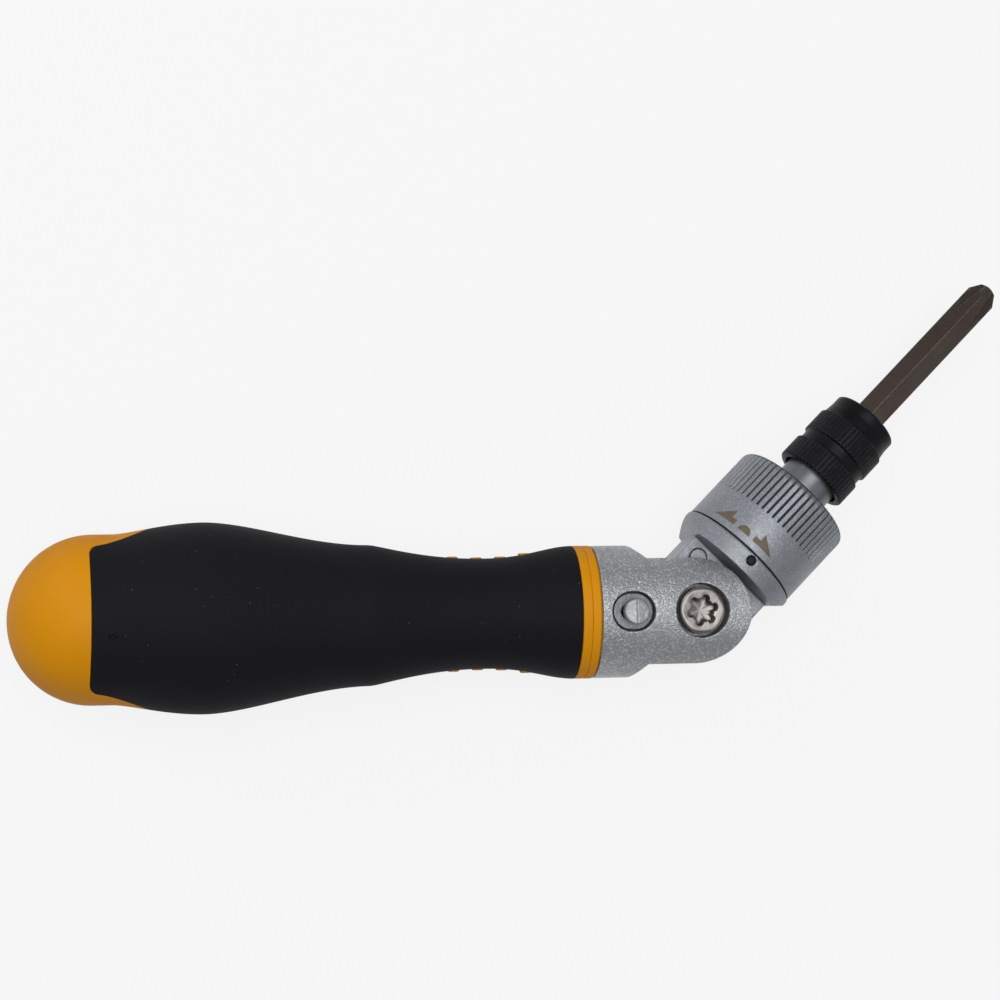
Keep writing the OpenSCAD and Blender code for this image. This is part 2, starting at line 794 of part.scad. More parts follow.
module head_body() {
    color(zinc)
    in_head()
    difference() {
        union() {
            head_tongue();
            head_base();
            translate([base_u + base_l / 2, 0, 0]) along() cylinder(r = hub_r, h = hub_l + base_l / 2);
        }
        translate([0, 0, -tongue_half - overrun])
            cylinder(d = barrel_d + 2 * run_gap, h = 2 * (tongue_half + overrun));
        rim_notches();
        along() {
            translate([0, 0, chamber_u]) cylinder(r = bush_r, h = hub_l + overrun);
            translate([0, 0, tail_u - pass_gap]) cylinder(r = tail_r + run_gap, h = tail_l + overrun);
            pawl_channel(forward_turn);
            pawl_channel(reverse_turn);
            rotate([0, 0, stop_turn]) translate([carrier_r, 0, hub_u - hub_l / 2])
                cylinder(d = stop_d, h = hub_l);
            rotate([0, 0, detent_turn]) translate([carrier_r, 0, hub_u - detent_d - detent_spring_l])
                cylinder(d = detent_d + 2 * run_gap, h = hub_l);
            rotate([0, 0, index_turn]) translate([base_r - index_depth, 0, seam_u - index_back])
                rotate([0, 90, 0]) cylinder(d = index_d, h = base_r);
        }
    }
}

module index_pin() {
    color(black)
    on_axis(seam_u - index_back)
        rotate([0, 0, index_turn]) translate([base_r - index_depth, 0, 0])
            rotate([0, 90, 0]) cylinder(d = index_d, h = index_depth - pass_gap);
}

module front_bush() {
    color(dark_steel)
    on_axis(bush_u)
    difference() {
        union() {
            cylinder(r = bush_r, h = bush_end_u - bush_u);
            translate([0, 0, flange_u - bush_u]) cylinder(r = bush_flange_r, h = bush_flange_t);
        }
        translate([0, 0, -overrun]) cylinder(r = journal_r + run_gap, h = bush_end_u);
        translate([0, 0, bush_end_u - bush_u - bush_lip_depth]) cylinder(r = bush_lip_r, h = overrun);
    }
}

module thrust_washer() {
    color(brass_tone)
    on_axis(chamber_u) ring(bush_r - pass_gap, tail_r + pass_gap, thrust_t);
}

// Selector

// Slot in the ring's web, as a follower that lifts with the turn sees it
module cam_slot(turn, r_start, r_end, w, depth) {
    margin = slot_spare_turn + asin(w / 2 / min(r_start, r_end));
    steps = 2 * outline_steps;
    function slot_r(t) = r_start + (r_end - r_start) * t;
    function slot_point(t, side) =
        let (a = turn + margin - t * (selector_swing + 2 * margin),
             s = (turn - a) / selector_swing,
             r = slot_r(s) + side * (w / 2 + pass_gap))
        [r * cos(a), r * sin(a)];
    translate([0, 0, web_u - overrun])
        linear_extrude(height = depth + overrun)
            polygon(concat(
                [for (i = [0 : steps]) slot_point(i / steps, 1)],
                [for (i = [steps : -1 : 0]) slot_point(i / steps, -1)]
            ));
}

// Outline of the ring's outside, front and bore
function ring_outline() = concat(
    [[hub_r + 2 * run_gap, ring_u], [ring_r, ring_u], [ring_r, ring_u + ring_l]],
    [
        for (i = [1 : outline_steps])
            let (a = 90 * i / outline_steps)
            [ring_r - ring_round_r + ring_round_r * cos(a), ring_u + ring_l + ring_round_r * sin(a)]
    ],
    [
        [bush_flange_r + pass_gap, ring_face_u + ring_crown],
        [bush_flange_r + pass_gap, flange_u - pass_gap],
        [bush_r + run_gap, flange_u - pass_gap],
        [bush_r + run_gap, web_u],
        [hub_r + 2 * run_gap, web_u]
    ]
);

// The three marks, unrolled: across the ring in degrees of turn, along it in shares of their height
mark_arrow_shares = [[-0.5, 0], [0.5, 0], [-0.25, 1], [-0.25, 0.4], [-0.5, 0.45]];
mark_dot_steps = 10;
arrow_span_share = 1.03;
dot_span_share = 0.29;
dot_height_share = 0.55;
function mark_arrow(turn, way) = [
    for (i = [0 : len(mark_arrow_shares) - 1])
        let (p = mark_arrow_shares[way > 0 ? i : len(mark_arrow_shares) - 1 - i])
        [turn + way * p.x * arrow_span_share * mark_pitch, mark_u + p.y * mark_h]
];
function mark_dot(turn) = [
    for (i = [0 : mark_dot_steps])
        let (a = 180 * i / mark_dot_steps)
        [turn + dot_span_share * mark_pitch * cos(a), mark_u + mark_h * dot_height_share * sin(a)]
];
// A mark as a radial prism through the ring's wall
module mark_prism(points) {
    mid = (max([for (p = points) p.x]) + min([for (p = points) p.x])) / 2;
    rotate([0, 0, mid]) translate([0, 0, ring_u]) rotate([90, 0, 90])
        linear_extrude(height = 2 * ring_r)
            polygon([for (p = points) [(p.x - mid) * ring_r * PI / 180, p.y]]);
}
module mark_prisms() {
    mark_prism(mark_arrow(index_turn, 1));
    mark_prism(mark_dot(index_turn - mark_pitch));
    mark_prism(mark_arrow(index_turn - selector_swing, -1));
}

module selector_ring() {
    pocket_d = detent_d + pass_gap;
    ride = detent_d / 2 - detent_drop;
    color(zinc)
    in_head() along()
    difference() {
        rotate_extrude() polygon(ring_outline());
        for (i = [0 : flute_count - 1])
            rotate([0, 0, 360 * i / flute_count]) translate([ring_r, 0, ring_u + flute_u])
                cylinder(d = flute_w, h = ring_l + ring_round_r);
        cam_slot(forward_turn, follower_r, follower_r + pawl_lift, follower_d, web_t);
        cam_slot(reverse_turn, follower_r + pawl_lift, follower_r, follower_d, web_t);
        cam_slot(stop_turn, carrier_r, carrier_r, stop_d, web_t);
        cam_slot(detent_turn, carrier_r, carrier_r, detent_d, ride);
        for (i = [0 : 2])
            rotate([0, 0, detent_turn - i * mark_pitch]) translate([carrier_r, 0, web_u - overrun])
                cylinder(d = pocket_d, h = overrun + ride + detent_drop + pass_gap);
        intersection() {
            mark_prisms();
            translate([0, 0, ring_u]) ring(ring_r + overrun, ring_r - mark_t, ring_l);
        }
    }
}

module direction_marks() {
    color(paint)
    in_head() along()
    intersection() {
        mark_prisms();
        translate([0, 0, ring_u]) ring(ring_r, ring_r - mark_t, ring_l);
    }
}

module detent_ball() {
    color(spring_steel)
    on_axis(web_u - detent_drop - run_gap)
        rotate([0, 0, detent_turn]) translate([carrier_r, 0, 0]) sphere(d = detent_d);
}

module detent_spring() {
    turns = 4;
    seat_u = hub_u - detent_d - detent_spring_l + run_gap;
    ball_back_u = web_u - detent_drop - run_gap - detent_d / 2;
    length = ball_back_u - detent_drop - seat_u;
    l = length - fine_wire_d;
    echo(detent_spring_gap = coil_gap(detent_spring_r, l, turns, fine_wire_d, 8 * turns));
    color(spring_steel)
    on_axis(seat_u)
        rotate([0, 0, detent_turn]) translate([carrier_r, 0, 0])
            coil(detent_spring_r, length, turns, fine_wire_d);
}

module stop_pin() {
    color(steel)
    on_axis(hub_u - hub_l / 2)
        rotate([0, 0, stop_turn]) translate([carrier_r, 0, 0])
            cylinder(d = stop_d, h = hub_l / 2 + web_t);
}

// Ratchet

// A pawl that points at the axis, with the bevel of its tooth on one side, at its lowest place
module pawl() {
    tip_w = tooth_gap - 2 * pass_gap;
    difference() {
        union() {
            translate([pawl_end_r, -pawl_w / 2, 0]) cube([pawl_l, pawl_w, pawl_t]);
            linear_extrude(height = pawl_t)
                polygon([
                    [pawl_end_r + pawl_l / 2, tip_w / 2], [pawl_tip_r, tip_w / 2],
                    [pawl_tip_r + tooth_depth / 2, -tip_w / 2], [pawl_end_r + pawl_l / 2, -tip_w / 2]
                ]);
            translate([follower_r, 0, 0]) cylinder(d = follower_d, h = web_u + web_t - pass_gap - pawl_u);
        }
        translate([pawl_end_r + pawl_l - pawl_pocket_depth, 0, pawl_t / 3])
            rotate([0, 90, 0]) cylinder(r = pawl_pocket_r, h = pawl_pocket_depth + overrun);
    }
}

module pawl_forward() {
    color(dark_steel) on_axis(pawl_u) rotate([0, 0, forward_turn]) pawl();
}

module pawl_reverse() {
    color(dark_steel)
    on_axis(pawl_u) rotate([0, 0, reverse_turn]) translate([pawl_lift, 0, 0]) mirror([0, 1, 0]) pawl();
}

module pawl_springs() {
    turns = 2;
    seat_r_down = pawl_end_r + pawl_l - pawl_pocket_depth;
    color(spring_steel)
    on_axis(pawl_u + pawl_t / 3)
    for (place = [[forward_turn, 0], [reverse_turn, pawl_lift]]) {
        start = seat_r_down + place[1] + run_gap;
        rotate([0, 0, place[0]]) translate([start, 0, 0])
            rotate([0, 90, 0]) coil(pawl_spring_r, pawl_room_r - start - run_gap, turns, fine_wire_d);
    }
}

module ratchet_gear() {
    color(dark_steel)
    on_axis(gear_u)
    difference() {
        ring(gear_r, seat_r, gear_l);
        for (i = [0 : gear_teeth - 1])
            rotate([0, 0, 360 * i / gear_teeth])
                translate([gear_r - tooth_depth, -tooth_gap / 2, -overrun])
                    cube([gear_r, tooth_gap, gear_l + 2 * overrun]);
    }
}

// Spindle and chuck

// Hexagonal prism along the axis, with a corner at the bit's turn
module hexagon(af, h) {
    rotate([0, 0, bit_turn]) cylinder(d = af / cos(30), h = h, $fn = 6);
}

module spindle() {
    groove_r = nose_r - circlip_depth;
    edge = nose_inset / 2;
    color(steel)
    in_head() along()
    difference() {
        rotate_extrude()
            polygon([
                [0, tail_u], [tail_r, tail_u], [tail_r, gear_u], [seat_r, gear_u],
                [seat_r, gear_u + gear_l], [journal_r, gear_u + gear_l], [journal_r, shoulder_u],
                [nose_r, shoulder_u], [nose_r, circlip_u], [groove_r, circlip_u],
                [groove_r, circlip_u + circlip_t], [nose_r, circlip_u + circlip_t],
                [nose_r, nose_u - edge], [nose_r - edge, nose_u], [0, nose_u]
            ]);
        translate([0, 0, magnet_u + magnet_t]) hexagon(bit_af + 2 * bit_gap, bit_l);
        translate([0, 0, magnet_u]) cylinder(r = magnet_r, h = magnet_t + overrun);
        rotate([0, 0, ball_turn]) translate([0, 0, ball_at])
            rotate([0, 90, 0]) cylinder(r = ball_r + run_gap, h = 2 * nose_r);
    }
}

module socket_magnet() {
    color(spring_steel) on_axis(magnet_u) cylinder(r = magnet_r, h = magnet_t);
}

// Outline of the sleeve's outside and bore
function sleeve_outline() =
    let (
        u1 = sleeve_u + rear_rib_l,
        u2 = u1 + sleeve_groove_l,
        u3 = u2 + front_rib_l,
        edge = (front_rib_r - sleeve_groove_r) / 2,
        bore = nose_r + run_gap,
        cone_r = ball_centre_r + ball_r + run_gap * 2
    )
    [
        [sleeve_chamber_r, sleeve_u], [rear_rib_r - edge, sleeve_u], [rear_rib_r, sleeve_u + edge],
        [rear_rib_r, u1 - edge], [sleeve_groove_r, u1], [sleeve_groove_r, u2], [front_rib_r, u2 + edge],
        [front_rib_r, u3 - edge], [sleeve_groove_r + edge / 2, u3],
        [sleeve_front_r, (u3 + sleeve_end_u) / 2], [sleeve_front_r, sleeve_end_u - edge],
        [sleeve_front_r - edge, sleeve_end_u], [circlip_r + pass_gap, sleeve_end_u],
        [circlip_r + pass_gap, circlip_u - run_gap], [bore, circlip_u - run_gap], [bore, cone_end_u],
        [cone_r + cone_slope * (cone_end_u - ball_at), cone_end_u],
        [cone_r + cone_slope * (cone_start_u - ball_at), cone_start_u],
        [bore, cone_start_u], [bore, spring_step_u], [sleeve_chamber_r, spring_step_u]
    ];

module chuck_sleeve() {
    ribbed_l = rear_rib_l + sleeve_groove_l + front_rib_l;
    color(chuck_black)
    in_head() along()
    difference() {
        rotate_extrude() polygon(sleeve_outline());
        for (i = [0 : rib_count - 1])
            rotate([0, 0, 360 * i / rib_count]) {
                translate([rear_rib_r, 0, sleeve_u - overrun])
                    cylinder(d = rib_groove_w, h = rear_rib_l + overrun + sleeve_groove_l / 2);
                translate([front_rib_r, 0, sleeve_u + ribbed_l - front_rib_l - sleeve_groove_l / 2])
                    cylinder(d = rib_groove_w, h = front_rib_l + sleeve_groove_l / 2);
            }
    }
}

module chuck_spring() {
    turns = 3.5;
    length = chuck_spring_l - 2 * run_gap;
    l = length - chuck_wire_d;
    echo(chuck_spring_gap = coil_gap(chuck_spring_r, l, turns, chuck_wire_d, 8 * turns));
    color(spring_steel)
    on_axis(shoulder_u + run_gap) coil(chuck_spring_r, length, turns, chuck_wire_d);
}

module chuck_ball() {
    color(spring_steel)
    on_axis(ball_at) rotate([0, 0, ball_turn]) translate([ball_centre_r, 0, 0]) sphere(r = ball_r);
}

module chuck_circlip() {
    opening = 60;
    color(dark_steel)
    on_axis(circlip_u)
    difference() {
        ring(circlip_r, nose_r - circlip_depth, circlip_t);
        rotate([0, 0, -opening / 2]) translate([0, 0, -overrun])
            linear_extrude(height = circlip_t + 2 * overrun)
                polygon([
                    [0, 0], [2 * circlip_r, 0],
                    [2 * circlip_r * cos(opening), 2 * circlip_r * sin(opening)]
                ]);
    }
}

// Bit

module screw_bit() {
    corner_r = bit_af / 2 / cos(30);
    chamfer = corner_r - bit_af / 2;
    flute_tilt = 13;
    flute_inset_share = 0.47;
    color(bronze)
    in_head() along()
    difference() {
        intersection() {
            translate([0, 0, bit_u]) hexagon(bit_af, bit_l);
            rotate_extrude()
                polygon([
                    [0, bit_u], [corner_r - chamfer, bit_u], [corner_r, bit_u + chamfer],
                    [corner_r, bit_end_u - tip_l], [tip_r, bit_end_u - tip_r / 4],
                    [tip_r / 2, bit_end_u], [0, bit_end_u]
                ]);
        }
        for (i = [0 : 3])
            rotate([0, 0, bit_turn + 45 + 90 * i])
                translate([tip_r * flute_inset_share + tip_flute_d / 2, 0, bit_end_u + overrun])
                    rotate([0, 180 - flute_tilt, 0]) cylinder(d = tip_flute_d, h = 4 * tip_l);
    }
}

handle_core();
grip_sleeve();
front_collar();
yoke();
pivot_screw();
pivot_nut();
pivot_washers();
lock_button();
lock_bolt();
lock_spring();
head_body();
index_pin();
front_bush();
thrust_washer();
selector_ring();
direction_marks();
detent_ball();
detent_spring();
stop_pin();
pawl_forward();
pawl_reverse();
pawl_springs();
spindle();
ratchet_gear();
socket_magnet();
chuck_sleeve();
chuck_spring();
chuck_ball();
chuck_circlip();
screw_bit();
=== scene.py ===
import json
import math

import bmesh
import bpy
import numpy as np
from mathutils import Matrix, Vector


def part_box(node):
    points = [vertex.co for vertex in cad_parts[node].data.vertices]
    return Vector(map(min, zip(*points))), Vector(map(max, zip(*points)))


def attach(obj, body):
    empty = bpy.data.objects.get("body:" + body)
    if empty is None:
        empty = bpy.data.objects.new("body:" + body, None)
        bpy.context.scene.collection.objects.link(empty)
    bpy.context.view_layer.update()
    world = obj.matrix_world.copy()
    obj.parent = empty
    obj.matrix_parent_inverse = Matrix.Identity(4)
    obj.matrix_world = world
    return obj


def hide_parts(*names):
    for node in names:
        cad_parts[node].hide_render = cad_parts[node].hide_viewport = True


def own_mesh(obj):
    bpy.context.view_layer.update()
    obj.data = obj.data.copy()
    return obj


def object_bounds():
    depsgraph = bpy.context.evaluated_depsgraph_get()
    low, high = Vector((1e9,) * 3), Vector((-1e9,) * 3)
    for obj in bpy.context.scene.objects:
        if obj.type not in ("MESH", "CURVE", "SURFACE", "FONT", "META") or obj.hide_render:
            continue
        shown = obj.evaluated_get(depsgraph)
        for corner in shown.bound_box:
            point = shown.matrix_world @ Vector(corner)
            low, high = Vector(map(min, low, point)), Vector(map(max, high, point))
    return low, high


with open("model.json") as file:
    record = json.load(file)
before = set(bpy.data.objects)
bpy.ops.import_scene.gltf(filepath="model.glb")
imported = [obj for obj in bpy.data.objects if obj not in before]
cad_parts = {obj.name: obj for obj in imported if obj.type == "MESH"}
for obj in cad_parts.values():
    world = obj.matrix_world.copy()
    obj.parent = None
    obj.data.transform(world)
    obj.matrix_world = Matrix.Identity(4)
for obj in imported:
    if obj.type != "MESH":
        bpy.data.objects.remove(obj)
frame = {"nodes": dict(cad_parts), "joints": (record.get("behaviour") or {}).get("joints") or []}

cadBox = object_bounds()
mm = 0.001  # the frame is in metres, every size below is in millimetres
lap = 1.0  # how far a cutter or a joined block runs on past what it meets
oneStep = 99.0  # a step so long that it adds no points to a line
nodes = frame["nodes"]
joints = {joint["name"]: joint for joint in frame["joints"]}

# the handle lies along x; the head's own frame has its axis along x and the pivot at its origin
pivot = Vector(joints["head_pivot"]["pos_m"]) / mm
headAxis = Vector(joints["selector_turn"]["axis"]).normalized()
headSide = Vector((0, 0, 1)).cross(headAxis)
handleFrame = Matrix.Identity(4)
headFrame = Matrix.Translation(pivot) @ Matrix((headAxis, headSide, (0, 0, 1))).transposed().to_4x4()
upright = Matrix(((0, 1, 0), (0, 0, 1), (1, 0, 0))).to_4x4()  # turns a lathe's axis from x to z


def headPoints(node):  # a node's points in the head's own frame
    return np.array([headFrame.inverted() @ (v.co / mm) for v in nodes[node].data.vertices])


def headSpan(node):  # where a node starts and ends along the head's axis, and its largest radius
    points = headPoints(node)
    radius = np.hypot(points[:, 1], points[:, 2])
    return points[:, 0].min(), points[:, 0].max(), radius.max()


# Mesh helpers

def roundedLine(corners, steps=5):  # corners are (radius, place, fillet); a fillet becomes an arc
    line = []
    for i, (radius, place, fillet) in enumerate(corners):
        here = np.array((radius, place), float)
        if not fillet:
            line.append(here)
            continue
        back = np.array(corners[i - 1][:2]) - here
        ahead = np.array(corners[(i + 1) % len(corners)][:2]) - here
        backLong, aheadLong = np.linalg.norm(back), np.linalg.norm(ahead)
        back, ahead = back / backLong, ahead / aheadLong
        half = math.acos(np.clip(back @ ahead, -1, 1)) / 2
        reach = min(fillet / math.tan(half), backLong / 2, aheadLong / 2)
        bulge = reach * math.tan(half)
        middle = here + (back + ahead) / np.linalg.norm(back + ahead) * bulge / math.sin(half)
        start, end = here + back * reach - middle, here + ahead * reach - middle
        turn = math.pi - 2 * half
        for t in np.linspace(0, 1, steps + 1):
            arc = math.sin((1 - t) * turn) * start + math.sin(t * turn) * end
            line.append(middle + arc / math.sin(turn))
    return np.array(line)


def spacedLine(line, step, closed=False):  # adds points until no stretch is longer than the step
    ends = np.vstack([line, line[:1]]) if closed else line
    made = [ends[0]]
    for a, b in zip(ends[:-1], ends[1:]):
        count = max(1, math.ceil(np.linalg.norm(b - a) / step))
        made += [a + (b - a) * k / count for k in range(1, count + 1)]
    return np.array(made[:-1] if closed else made)


def gridMesh(name, grid, wrapRows=False, shade=None):  # quads over rows of points round an axis
    rows, columns = grid.shape[:2]
    index = np.arange(rows * columns).reshape(rows, columns)
    low, high = (index, np.roll(index, -1, 0)) if wrapRows else (index[:-1], index[1:])
    faces = np.stack([low, np.roll(low, -1, 1), np.roll(high, -1, 1), high], -1).reshape(-1, 4)
    mesh = bpy.data.meshes.new(name)
    mesh.from_pydata(grid.reshape(-1, 3).tolist(), [], faces.tolist())
    if shade is not None:  # painted shade: how much each point is darkened, down a flute's groove or on the ring's front rounding
        mesh.attributes.new("shade", "FLOAT", "POINT").data.foreach_set("value", shade.ravel())
    shell = bmesh.new()
    shell.from_mesh(mesh)
    bmesh.ops.remove_doubles(shell, verts=shell.verts, dist=1e-4)  # closes the poles
    bmesh.ops.recalc_face_normals(shell, faces=shell.faces)
    shell.to_mesh(mesh)
    shell.free()
    mesh.shade_smooth()
    return mesh


def polarGrid(radius, place, turn):  # points at a radius and a place along the axis, at each turn round it
    radius, place, turn = np.broadcast_arrays(radius, place, turn)
    return np.stack([place, radius * np.cos(turn), radius * np.sin(turn)], -1)


def rowsGrid(rows, turns):  # rows are (radius, place), each one number or one for every turn
    return np.array([polarGrid(radius, place, turns) for radius, place in rows])


def evenTurns(count):
    return np.arange(count) * 2 * math.pi / count


def quarterTurns(count):
    return np.linspace(0, math.pi / 2, count)


def flutedTurns(count, halfTurn, fluteColumns, landColumns):  # columns, and how far each is from its flute
    pitch = 2 * math.pi / count
    offs = np.concatenate([halfTurn * np.array(fluteColumns), pitch * np.array(landColumns)])
    turns = (np.arange(count)[:, None] * pitch + offs).ravel()
    return turns, (turns + pitch / 2) % pitch - pitch / 2


def latheMesh(name, corners, closed=False, columns=160, step=0.7):
    line = spacedLine(roundedLine(corners), step, closed)
    return gridMesh(name, polarGrid(line[:, :1], line[:, 1:], evenTurns(columns)), wrapRows=closed)


def slabMesh(name, outline, low, high):  # an outline in x and y, between two heights
    slab = bmesh.new()
    face = slab.faces.new([slab.verts.new((x, y, low)) for x, y in outline])
    grown = bmesh.ops.extrude_face_region(slab, geom=[face])["geom"]
    raised = [part for part in grown if isinstance(part, bmesh.types.BMVert)]
    bmesh.ops.translate(slab, verts=raised, vec=(0, 0, high - low))
    bmesh.ops.recalc_face_normals(slab, faces=slab.faces)
    mesh = bpy.data.meshes.new(name)
    slab.to_mesh(mesh)
    slab.free()
    return mesh


def boxMesh(name, low, high):
    (x0, y0, z0), (x1, y1, z1) = low, high
    return slabMesh(name, [(x0, y0), (x1, y0), (x1, y1), (x0, y1)], z0, z1)


def rodCorners(radius, low, high, edge=0):  # the section of a solid rod or disc, with a fillet at its far end
    return [(0, low, 0), (radius, low, 0), (radius, high, edge), (0, high, 0)]


def rodMesh(name, radius, low, high, place=handleFrame, columns=160):
    mesh = latheMesh(name, rodCorners(radius, low, high), columns=columns, step=oneStep)
    mesh.transform(place)
    return mesh


def arcPoints(x, y, radius, start, end, count=48):
    return [(x + radius * math.cos(a), y + radius * math.sin(a)) for a in np.linspace(start, end, count)]


def oblongMesh(name, front, rear, width, low, high):  # an upright block with round ends
    half = width / 2
    outline = arcPoints(front - half, 0, half, -math.pi / 2, math.pi / 2)
    outline += arcPoints(rear + half, 0, half, math.pi / 2, 1.5 * math.pi)
    return slabMesh(name, outline, low, high)


def joinedMesh(name, parts):
    joined = bmesh.new()
    for part in parts:
        joined.from_mesh(part)
    mesh = bpy.data.meshes.new(name)
    joined.to_mesh(mesh)
    joined.free()
    return mesh


def tempObject(mesh):
    made = bpy.data.objects.new(mesh.name, mesh)
    bpy.context.scene.collection.objects.link(made)
    return made


def appliedMesh(made):  # the mesh after its modifiers; the helper object goes
    graph = bpy.context.evaluated_depsgraph_get()
    mesh = bpy.data.meshes.new_from_object(made.evaluated_get(graph))
    bpy.data.objects.remove(made)
    return mesh


def combinedMesh(base, others, operation):
    holder = tempObject(base)
    tools = [tempObject(other) for other in others]
    for tool in tools:
        cut = holder.modifiers.new("cut", "BOOLEAN")
        cut.operation, cut.solver, cut.object = operation, "EXACT", tool
    mesh = appliedMesh(holder)
    for tool in tools:
        bpy.data.objects.remove(tool)
    return mesh


casting = {"voxel": 0.17, "softness": 0.5, "passes": 3}


def castMesh(name, mesh):  # gives a carved block the soft edges of a casting
    holder = tempObject(mesh)
    remesh = holder.modifiers.new("voxels", "REMESH")
    remesh.mode, remesh.voxel_size, remesh.use_smooth_shade = "VOXEL", casting["voxel"], True
    soften = holder.modifiers.new("soften", "SMOOTH")
    soften.factor, soften.iterations = casting["softness"], casting["passes"]
    made = appliedMesh(holder)
    made.name = name
    made.shade_smooth()
    return made


def markEdges(mesh):
    # stores how far each point stands out: a half on a flat, more on an edge, less in a corner
    count = len(mesh.vertices)
    points, normals = np.empty((2, count, 3), np.float32)
    ends = np.empty((len(mesh.edges), 2), np.int32)
    mesh.vertices.foreach_get("co", points.ravel())
    mesh.vertex_normals.foreach_get("vector", normals.ravel())
    mesh.edges.foreach_get("vertices", ends.ravel())
    a, b = ends.T
    ahead = points[b] - points[a]
    ahead /= np.linalg.norm(ahead, axis=1, keepdims=True) + 1e-12
    lean = [np.bincount(a, ahead[:, k], count) - np.bincount(b, ahead[:, k], count) for k in range(3)]
    links = np.bincount(ends.ravel(), minlength=count)
    lean = (np.stack(lean, -1) * normals).sum(1) / np.maximum(links, 1)
    sharp = np.arccos(np.clip(lean, -1, 1)) / math.pi
    spread = sharp + np.bincount(a, sharp[b], count) + np.bincount(b, sharp[a], count)
    spread = (spread / (links + 1)).astype(np.float32)
    mesh.attributes.new("edge", "FLOAT", "POINT").data.foreach_set("value", spread)


def addPiece(name, mesh, place, body, slot, material, *stoodFor):
    mesh.transform(Matrix.Scale(mm, 4) @ place)
    markEdges(mesh)
    piece = bpy.data.objects.new(name, mesh)
    mesh.materials.clear()
    mesh.materials.append(material)
    bpy.context.scene.collection.objects.link(piece)
    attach(piece, body)
    if stoodFor:
        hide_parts(*stoodFor)
    return piece


# Shared effects, as node groups

effects = {
    "grain": {"detail": 3.0, "roughness": 0.6, "pits": -0.5, "tone": (0.32, 0.68), "paintedGlint": (0.62, 1.0)},
    "handling": {"detail": 4.0, "roughness": 0.55, "patches": (0.35, 0.7)},
    "wearAndHighlight": {"detail": 3.0, "roughness": 0.5, "breaks": (0.35, 0.6)},
    "lines": {"detail": 2.0, "tone": (0.3, 0.7)},
}


def hexColor(text):  # a screen colour as the linear one that a shader takes
    parts = [int(text[i:i + 2], 16) / 255 for i in (0, 2, 4)]
    return [c / 12.92 if c <= 0.04045 else ((c + 0.055) / 1.055) ** 2.4 for c in parts] + [1]


def feed(tree, target, value):  # links a socket, or writes a plain value to it
    if isinstance(value, bpy.types.NodeSocket):
        tree.links.new(value, target)
    else:
        target.default_value = value


def addNode(tree, kind, **sockets):  # a node with values or links on its named sockets
    node = tree.nodes.new(kind)
    for label, value in sockets.items():
        feed(tree, node.inputs[label.replace("_", " ")], value)
    return node


def addMath(tree, operation, a, b):
    node = tree.nodes.new("ShaderNodeMath")
    node.operation = operation
    feed(tree, node.inputs[0], a)
    feed(tree, node.inputs[1], b)
    return node.outputs[0]


def addRange(tree, value, low, high, toLow=0.0, toHigh=1.0):
    limits = {"From_Min": low, "From_Max": high, "To_Min": toLow, "To_Max": toHigh}
    return addNode(tree, "ShaderNodeMapRange", Value=value, **limits).outputs["Result"]


def addMix(tree, mask, a, b):
    node = tree.nodes.new("ShaderNodeMix")
    node.data_type = "RGBA"
    for socket, value in ((0, mask), (6, a), (7, b)):  # the colour sockets of the mix node
        feed(tree, node.inputs[socket], value)
    return node.outputs[2]


def addNoise(tree, place, scale, v):
    return addNode(tree, "ShaderNodeTexNoise", Vector=place, Scale=scale,
                   Detail=v["detail"], Roughness=v["roughness"]).outputs[0]


def newGroup(name, inputs, outputs):
    group = bpy.data.node_groups.new(name, "ShaderNodeTree")
    for label, value in inputs.items():
        kind = "NodeSocketVector" if isinstance(value, tuple) else "NodeSocketFloat"
        group.interface.new_socket(label, in_out="INPUT", socket_type=kind).default_value = value
    for label in outputs:
        group.interface.new_socket(label, in_out="OUTPUT", socket_type="NodeSocketFloat")
    start, end = group.nodes.new("NodeGroupInput"), group.nodes.new("NodeGroupOutput")
    place = group.nodes.new("ShaderNodeTexCoord").outputs["Object"]
    return group, start.outputs, end.inputs, place


def makeGrain():  # fine pits and grains of a moulded, blasted or cast skin
    v = effects["grain"]
    group, given, out, place = newGroup("surfaceGrain", {"Scale": 3000.0}, ["Height", "Tone", "PaintedGlint"])
    noise = addNoise(group, place, given["Scale"], v)
    cells = addNode(group, "ShaderNodeTexVoronoi", Vector=place, Scale=given["Scale"]).outputs
    pits = addMath(group, "MULTIPLY", cells["Distance"], v["pits"])
    facets = addNode(group, "ShaderNodeSeparateColor", Color=cells["Color"]).outputs
    group.links.new(addMath(group, "ADD", noise, pits), out["Height"])
    group.links.new(addRange(group, noise, *v["tone"]), out["Tone"])
    group.links.new(addRange(group, facets["Red"], *v["paintedGlint"]), out["PaintedGlint"])  # painted glints: a few facets are painted brighter, as if they catch the light
    return group


def makeHandling():  # broad cloudy patches left by hands and wiping
    v = effects["handling"]
    group, given, out, place = newGroup("handlingMarks", {"Scale": 90.0}, ["Mask"])
    noise = addNoise(group, place, given["Scale"], v)
    group.links.new(addRange(group, noise, *v["patches"]), out["Mask"])
    return group


def makeWearAndHighlight():  # rubbed edges and painted edge highlights, broken up by a noise
    v = effects["wearAndHighlight"]
    inputs = {"Start": 0.52, "Full": 0.6, "Scale": 900.0}
    group, given, out, place = newGroup("edgeWearAndHighlight", inputs, ["Mask"])
    edge = group.nodes.new("ShaderNodeAttribute")
    edge.attribute_name = "edge"
    rubbedAndLit = addRange(group, edge.outputs["Fac"], given["Start"], given["Full"])
    broken = addRange(group, addNoise(group, place, given["Scale"], v), *v["breaks"])
    group.links.new(addMath(group, "MULTIPLY", rubbedAndLit, broken), out["Mask"])
    return group


